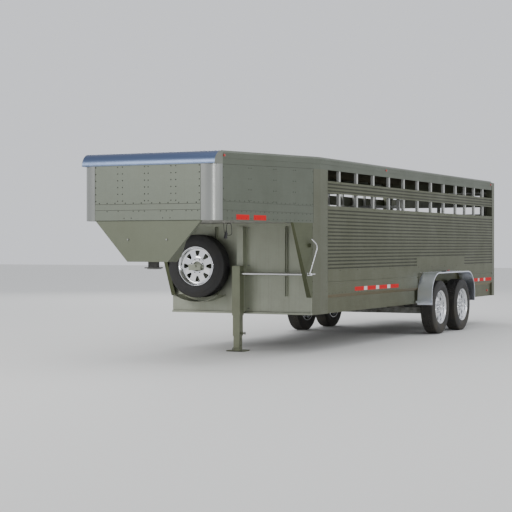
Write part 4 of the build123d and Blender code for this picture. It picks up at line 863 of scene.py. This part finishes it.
def lathe(profile, segments, centre, axle):
    # a closed section turned round an axle through the centre
    axle = Vector(axle).normalized()
    up = Vector((0, 0, 1))
    side = axle.cross(up)
    mesh = bmesh.new()
    rings = []
    for i in range(segments):
        turn = 2 * math.pi * i / segments
        arm = up * math.cos(turn) + side * math.sin(turn)
        rings.append([mesh.verts.new(Vector(centre) + axle * a + arm * r) for a, r in profile])
    count = len(profile)
    for i in range(segments):
        here, after = rings[i], rings[(i + 1) % segments]
        for j in range(count):
            k = (j + 1) % count
            mesh.faces.new((here[j], here[k], after[k], after[j]))
    return mesh


def makeTreadTree():
    # rows of blocks round a wheel; the carcass comes in and goes out joined to them
    tree = bpy.data.node_groups.new("treadBlocks", "GeometryNodeTree")
    face = tree.interface
    face.new_socket("Carcass", in_out="INPUT", socket_type="NodeSocketGeometry")
    for label, value in (
        ("Radius", 0.3835), ("Block High", 0.009), ("Block Wide", 0.024), ("Block Long", 0.03),
    ):
        face.new_socket(label, in_out="INPUT", socket_type="NodeSocketFloat").default_value = value
    face.new_socket("Count", in_out="INPUT", socket_type="NodeSocketInt").default_value = 60
    face.new_socket("Centre", in_out="INPUT", socket_type="NodeSocketVector")
    face.new_socket("Turn", in_out="INPUT", socket_type="NodeSocketVector")
    face.new_socket("Finish", in_out="INPUT", socket_type="NodeSocketMaterial")
    face.new_socket("Tyre", in_out="OUTPUT", socket_type="NodeSocketGeometry")
    given, out = place(tree, "NodeGroupInput"), place(tree, "NodeGroupOutput")
    block = place(tree, "GeometryNodeMeshCube")
    size = place(tree, "ShaderNodeCombineXYZ")
    joinUp(
        tree, (given.outputs["Block Wide"], size.inputs["X"]),
        (given.outputs["Block Long"], size.inputs["Y"]),
        (given.outputs["Block High"], size.inputs["Z"]), (size.outputs["Vector"], block.inputs["Size"]),
    )
    joined = place(tree, "GeometryNodeJoinGeometry")
    lift = sums(
        tree, "SUBTRACT", given.outputs["Radius"], sums(tree, "MULTIPLY", given.outputs["Block High"], 0.5),
    )
    rows = place(tree, "GeometryNodeJoinGeometry")
    for index, offset in enumerate(tyreSettings["ribs"]):
        # each row stands on a circle round X, set off along it and turned by a part of a block
        circle = place(tree, "GeometryNodeMeshCircle")
        joinUp(tree, (given.outputs["Count"], circle.inputs["Vertices"]), (lift, circle.inputs["Radius"]))
        move = place(tree, "GeometryNodeTransform")
        move.inputs["Translation"].default_value = (offset, 0, 0)
        move.inputs["Rotation"].default_value = (0, math.pi / 2, 0)
        spin = place(tree, "GeometryNodeTransform")
        spin.inputs["Rotation"].default_value = (0.023 * index, 0, 0)
        joinUp(
            tree, (circle.outputs["Mesh"], move.inputs["Geometry"]),
            (move.outputs["Geometry"], spin.inputs["Geometry"]),
        )
        joinUp(tree, (spin.outputs["Geometry"], rows.inputs["Geometry"]))
    spot = place(tree, "GeometryNodeInputPosition")
    flatten = place(tree, "ShaderNodeVectorMath", operation="MULTIPLY")
    flatten.inputs[1].default_value = (0, 1, 1)
    joinUp(tree, (spot.outputs["Position"], flatten.inputs[0]))
    aim = place(tree, "FunctionNodeAlignRotationToVector", axis="Z", pivot_axis="X")
    joinUp(tree, (flatten.outputs["Vector"], aim.inputs["Vector"]))
    put = place(tree, "GeometryNodeInstanceOnPoints")
    real = place(tree, "GeometryNodeRealizeInstances")
    seat = place(tree, "GeometryNodeTransform")
    paint = place(tree, "GeometryNodeSetMaterial")
    joinUp(
        tree, (rows.outputs["Geometry"], put.inputs["Points"]),
        (block.outputs["Mesh"], put.inputs["Instance"]),
        (aim.outputs["Rotation"], put.inputs["Rotation"]),
        (put.outputs["Instances"], real.inputs["Geometry"]),
        (real.outputs["Geometry"], seat.inputs["Geometry"]),
        (given.outputs["Centre"], seat.inputs["Translation"]),
        (given.outputs["Turn"], seat.inputs["Rotation"]),
        (given.outputs["Carcass"], joined.inputs["Geometry"]),
        (seat.outputs["Geometry"], joined.inputs["Geometry"]),
        (joined.outputs["Geometry"], paint.inputs["Geometry"]),
        (given.outputs["Finish"], paint.inputs["Material"]), (paint.outputs["Geometry"], out.inputs["Tyre"]),
    )
    return tree


treadTree = makeTreadTree()


def makeTyre(name, centre, axle, bodyName, replaced):
    sizes = tyreSettings
    shape = fromBmesh(lathe(tyreProfile(), sizes["segments"], centre, axle), name + "Carcass", 0.5)
    modifier = shape.modifiers.new("tread", "NODES")
    modifier.node_group = treadTree
    turn = (0.0, 0.0, math.atan2(axle[1], axle[0]))
    giveInputs(
        modifier, treadTree,
        {"Radius": sizes["crown"], "Block High": sizes["blockHigh"], "Block Wide": sizes["blockWide"],
         "Block Long": 2 * math.pi * sizes["crown"] / sizes["blocks"] - sizes["groove"],
         "Count": sizes["blocks"], "Centre": centre, "Turn": turn, "Finish": finishes["tyreRubber"]},
    )
    settle(bakeNodes(shape, name), name, "tyreRubber", bodyName, [replaced])


for corner, (station, side) in corners.items():
    label = "".join(word.capitalize() for word in corner.split("_"))
    centre = (station, side * body["wheelY"], body["wheelZ"])
    makeTyre("tyre" + label, centre, (0, side, 0), "road_wheel_" + corner, "tyre_" + corner)
spareLow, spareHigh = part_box("tyre_spare")
spareCentre = tuple((spareLow + spareHigh) / 2)
makeTyre("tyreSpare", spareCentre, (1, 0, 0), "trailer", "tyre_spare")
print("stage: tyres")

# wheel sizes; the holes are wedges with rounded corners
wheelSettings = {
    "segments": 96, "holes": 8, "holeInner": 0.122,
    "holeOuter": 0.190, "holeNarrow": 0.015, "holeWide": 0.031,
    "narrowCorner": 0.010, "wideCorner": 0.014,
    "studs": 8, "studCircle": 0.08255, "studHole": 0.0082, "edge": 0.0012,
}


def wheelProfile():
    # barrel and dished disc, as (axial, radius), with rolled lips
    lip, bead = 0.239, 0.2222
    return [
        (0.092, lip - 0.002), (0.090, lip), (0.086, lip),
        (0.082, lip - 0.003), (0.080, bead + 0.008), (0.077, bead + 0.001),
        (0.072, bead), (-0.072, bead), (-0.077, bead + 0.001), (-0.080, bead + 0.008), (-0.082, lip - 0.003),
        (-0.086, lip), (-0.090, lip), (-0.092, lip - 0.002), (-0.092, lip - 0.006), (-0.086, lip - 0.012),
        (-0.076, bead - 0.008), (0.020, bead - 0.008),
        (0.0255, bead - 0.011), (0.0275, 0.2045), (0.0300, 0.198),
        (0.0325, 0.180), (0.034, 0.150), (0.0375, 0.118), (0.038, 0.108), (0.038, 0.0568), (0.052, 0.0568),
        (0.0525, 0.0580), (0.0525, 0.1035), (0.052, 0.106), (0.0495, 0.116), (0.0465, 0.140), (0.0425, 0.175),
        (0.0405, 0.196), (0.0415, 0.2040), (0.0450, bead - 0.0095),
        (0.052, bead - 0.0085), (0.070, bead - 0.0078),
        (0.078, bead - 0.0040), (0.085, lip - 0.0125), (0.091, lip - 0.0070),
    ]


def prism(mesh, outline, low, high, toWorld):
    # an upright prism for cutting; outline in the wheel's plane, low and high along its axle
    lower = [mesh.verts.new(toWorld(low, a, b)) for a, b in outline]
    upper = [mesh.verts.new(toWorld(high, a, b)) for a, b in outline]
    count = len(outline)
    for i in range(count):
        k = (i + 1) % count
        mesh.faces.new((lower[i], lower[k], upper[k], upper[i]))
    mesh.faces.new(lower[::-1])
    mesh.faces.new(upper)


def handHole(turn):
    # a rounded wedge, wide end outwards
    sizes = wheelSettings
    narrow, wide = sizes["narrowCorner"], sizes["wideCorner"]
    inner, outer = sizes["holeInner"] + narrow, sizes["holeOuter"] - wide
    points = []
    for middle, side, half, corner, first in (
        (inner, 1, sizes["holeNarrow"], narrow, 90), (inner, -1, sizes["holeNarrow"], narrow, 180),
        (outer, -1, sizes["holeWide"], wide, 270), (outer, 1, sizes["holeWide"], wide, 0),
    ):
        for i in range(4):
            angle = math.radians(first + 30 * i)
            across = side * (half - corner) + corner * math.sin(angle)
            points.append((middle + corner * math.cos(angle), across))
    return [
        (u * math.cos(turn) - v * math.sin(turn), u * math.sin(turn) + v * math.cos(turn))
        for u, v in points
    ]


def makeWheel(name, centre, axle, bodyName, replaced):
    sizes = wheelSettings
    shape = fromBmesh(lathe(wheelProfile(), sizes["segments"], centre, axle), name + "Blank", 0.5)
    way = Vector(axle).normalized()
    up = Vector((0, 0, 1))
    across = way.cross(up)

    def toWorld(out, a, b):
        return Vector(centre) + way * out + up * a + across * b

    mesh = bmesh.new()
    for i in range(sizes["holes"]):
        prism(mesh, handHole(2 * math.pi * i / sizes["holes"]), 0.005, 0.075, toWorld)
    sixteenths = [2 * math.pi * k / 16 for k in range(16)]
    for i in range(sizes["studs"]):
        turn = 2 * math.pi * (i + 0.5) / sizes["studs"]
        middle = (sizes["studCircle"] * math.cos(turn), sizes["studCircle"] * math.sin(turn))
        radius = sizes["studHole"]
        ring = [(middle[0] + radius * math.cos(t), middle[1] + radius * math.sin(t)) for t in sixteenths]
        prism(mesh, ring, 0.02, 0.07, toWorld)
    cutter = fromBmesh(mesh, name + "Cutter")
    cut = shape.modifiers.new("cut", "BOOLEAN")
    cut.operation, cut.solver, cut.object = "DIFFERENCE", "EXACT", cutter
    soften = shape.modifiers.new("soften", "BEVEL")
    soften.width, soften.segments = sizes["edge"], 2
    soften.limit_method, soften.angle_limit = "ANGLE", math.radians(50)
    wheel = bakeNodes(shape, name)
    bpy.data.objects.remove(cutter)
    wheel.data.shade_smooth()
    wheel.data.set_sharp_from_angle(angle=0.6)
    settle(wheel, name, "wheelMetal", bodyName, [replaced])


for corner, (station, side) in corners.items():
    label = "".join(word.capitalize() for word in corner.split("_"))
    centre = (station, side * body["wheelY"], body["wheelZ"])
    makeWheel("wheel" + label, centre, (0, side, 0), "road_wheel_" + corner, "wheel_" + corner)
makeWheel("wheelSpare", spareCentre, (1, 0, 0), "trailer", "wheel_spare")
print("stage: wheels")

# floor, air and soft lights
studio = {"floorSize": 60, "floorColour": (0.72, 0.72, 0.70), "air": (0.93, 0.95, 1.0), "airStrength": 0.95}


def makeStudio():
    mesh = bmesh.new()
    bmesh.ops.create_grid(mesh, x_segments=4, y_segments=4, size=studio["floorSize"])
    for vert in mesh.verts:
        vert.co.z = -0.001
    floor = fromBmesh(mesh, "studioFloor")
    material = bpy.data.materials.new("studioFloor")
    material.use_nodes = True
    shader = material.node_tree.nodes["Principled BSDF"]
    shader.inputs["Base Color"].default_value = (*studio["floorColour"], 1)
    shader.inputs["Roughness"].default_value = 0.75
    floor.data.materials.append(material)
    world = bpy.data.worlds.new("studioAir")
    world.use_nodes = True
    background = world.node_tree.nodes["Background"]
    background.inputs["Color"].default_value = (*studio["air"], 1)
    background.inputs["Strength"].default_value = studio["airStrength"]
    bpy.context.scene.world = world


def softLight(name, at, aim, size, power, colour=(1, 1, 1)):
    data = bpy.data.lights.new(name, "AREA")
    data.shape = "RECTANGLE"
    data.size, data.size_y = size
    data.energy = power
    data.color = colour
    lamp = bpy.data.objects.new(name, data)
    lamp.location = at
    lamp.rotation_mode = "QUATERNION"
    lamp.rotation_quaternion = (Vector(aim) - Vector(at)).to_track_quat("-Z", "Y")
    bpy.context.scene.collection.objects.link(lamp)


makeStudio()
# where each light stands, where it points, its size and its power
lights = {
    "keyLight": ((15, -5, 8), (3, 0, 1.2), (7, 5), 700, (1.0, 0.98, 0.95)),
    "fillLight": ((2, 16, 7), (0, 0, 1.2), (12, 6), 350),
    "cornerStrip": ((10.4, 11.4, 2.2), (4.7, 0.75, 1.8), (0.7, 3.6), 160),
    "topLight": ((0, 0, 12), (0, 0, 0), (14, 8), 450),
    "backLight": ((-14, -10, 8), (-2, 0, 1), (8, 5), 450),
}
for lightName, setting in lights.items():
    softLight(lightName, *setting)
print("stage: studio")
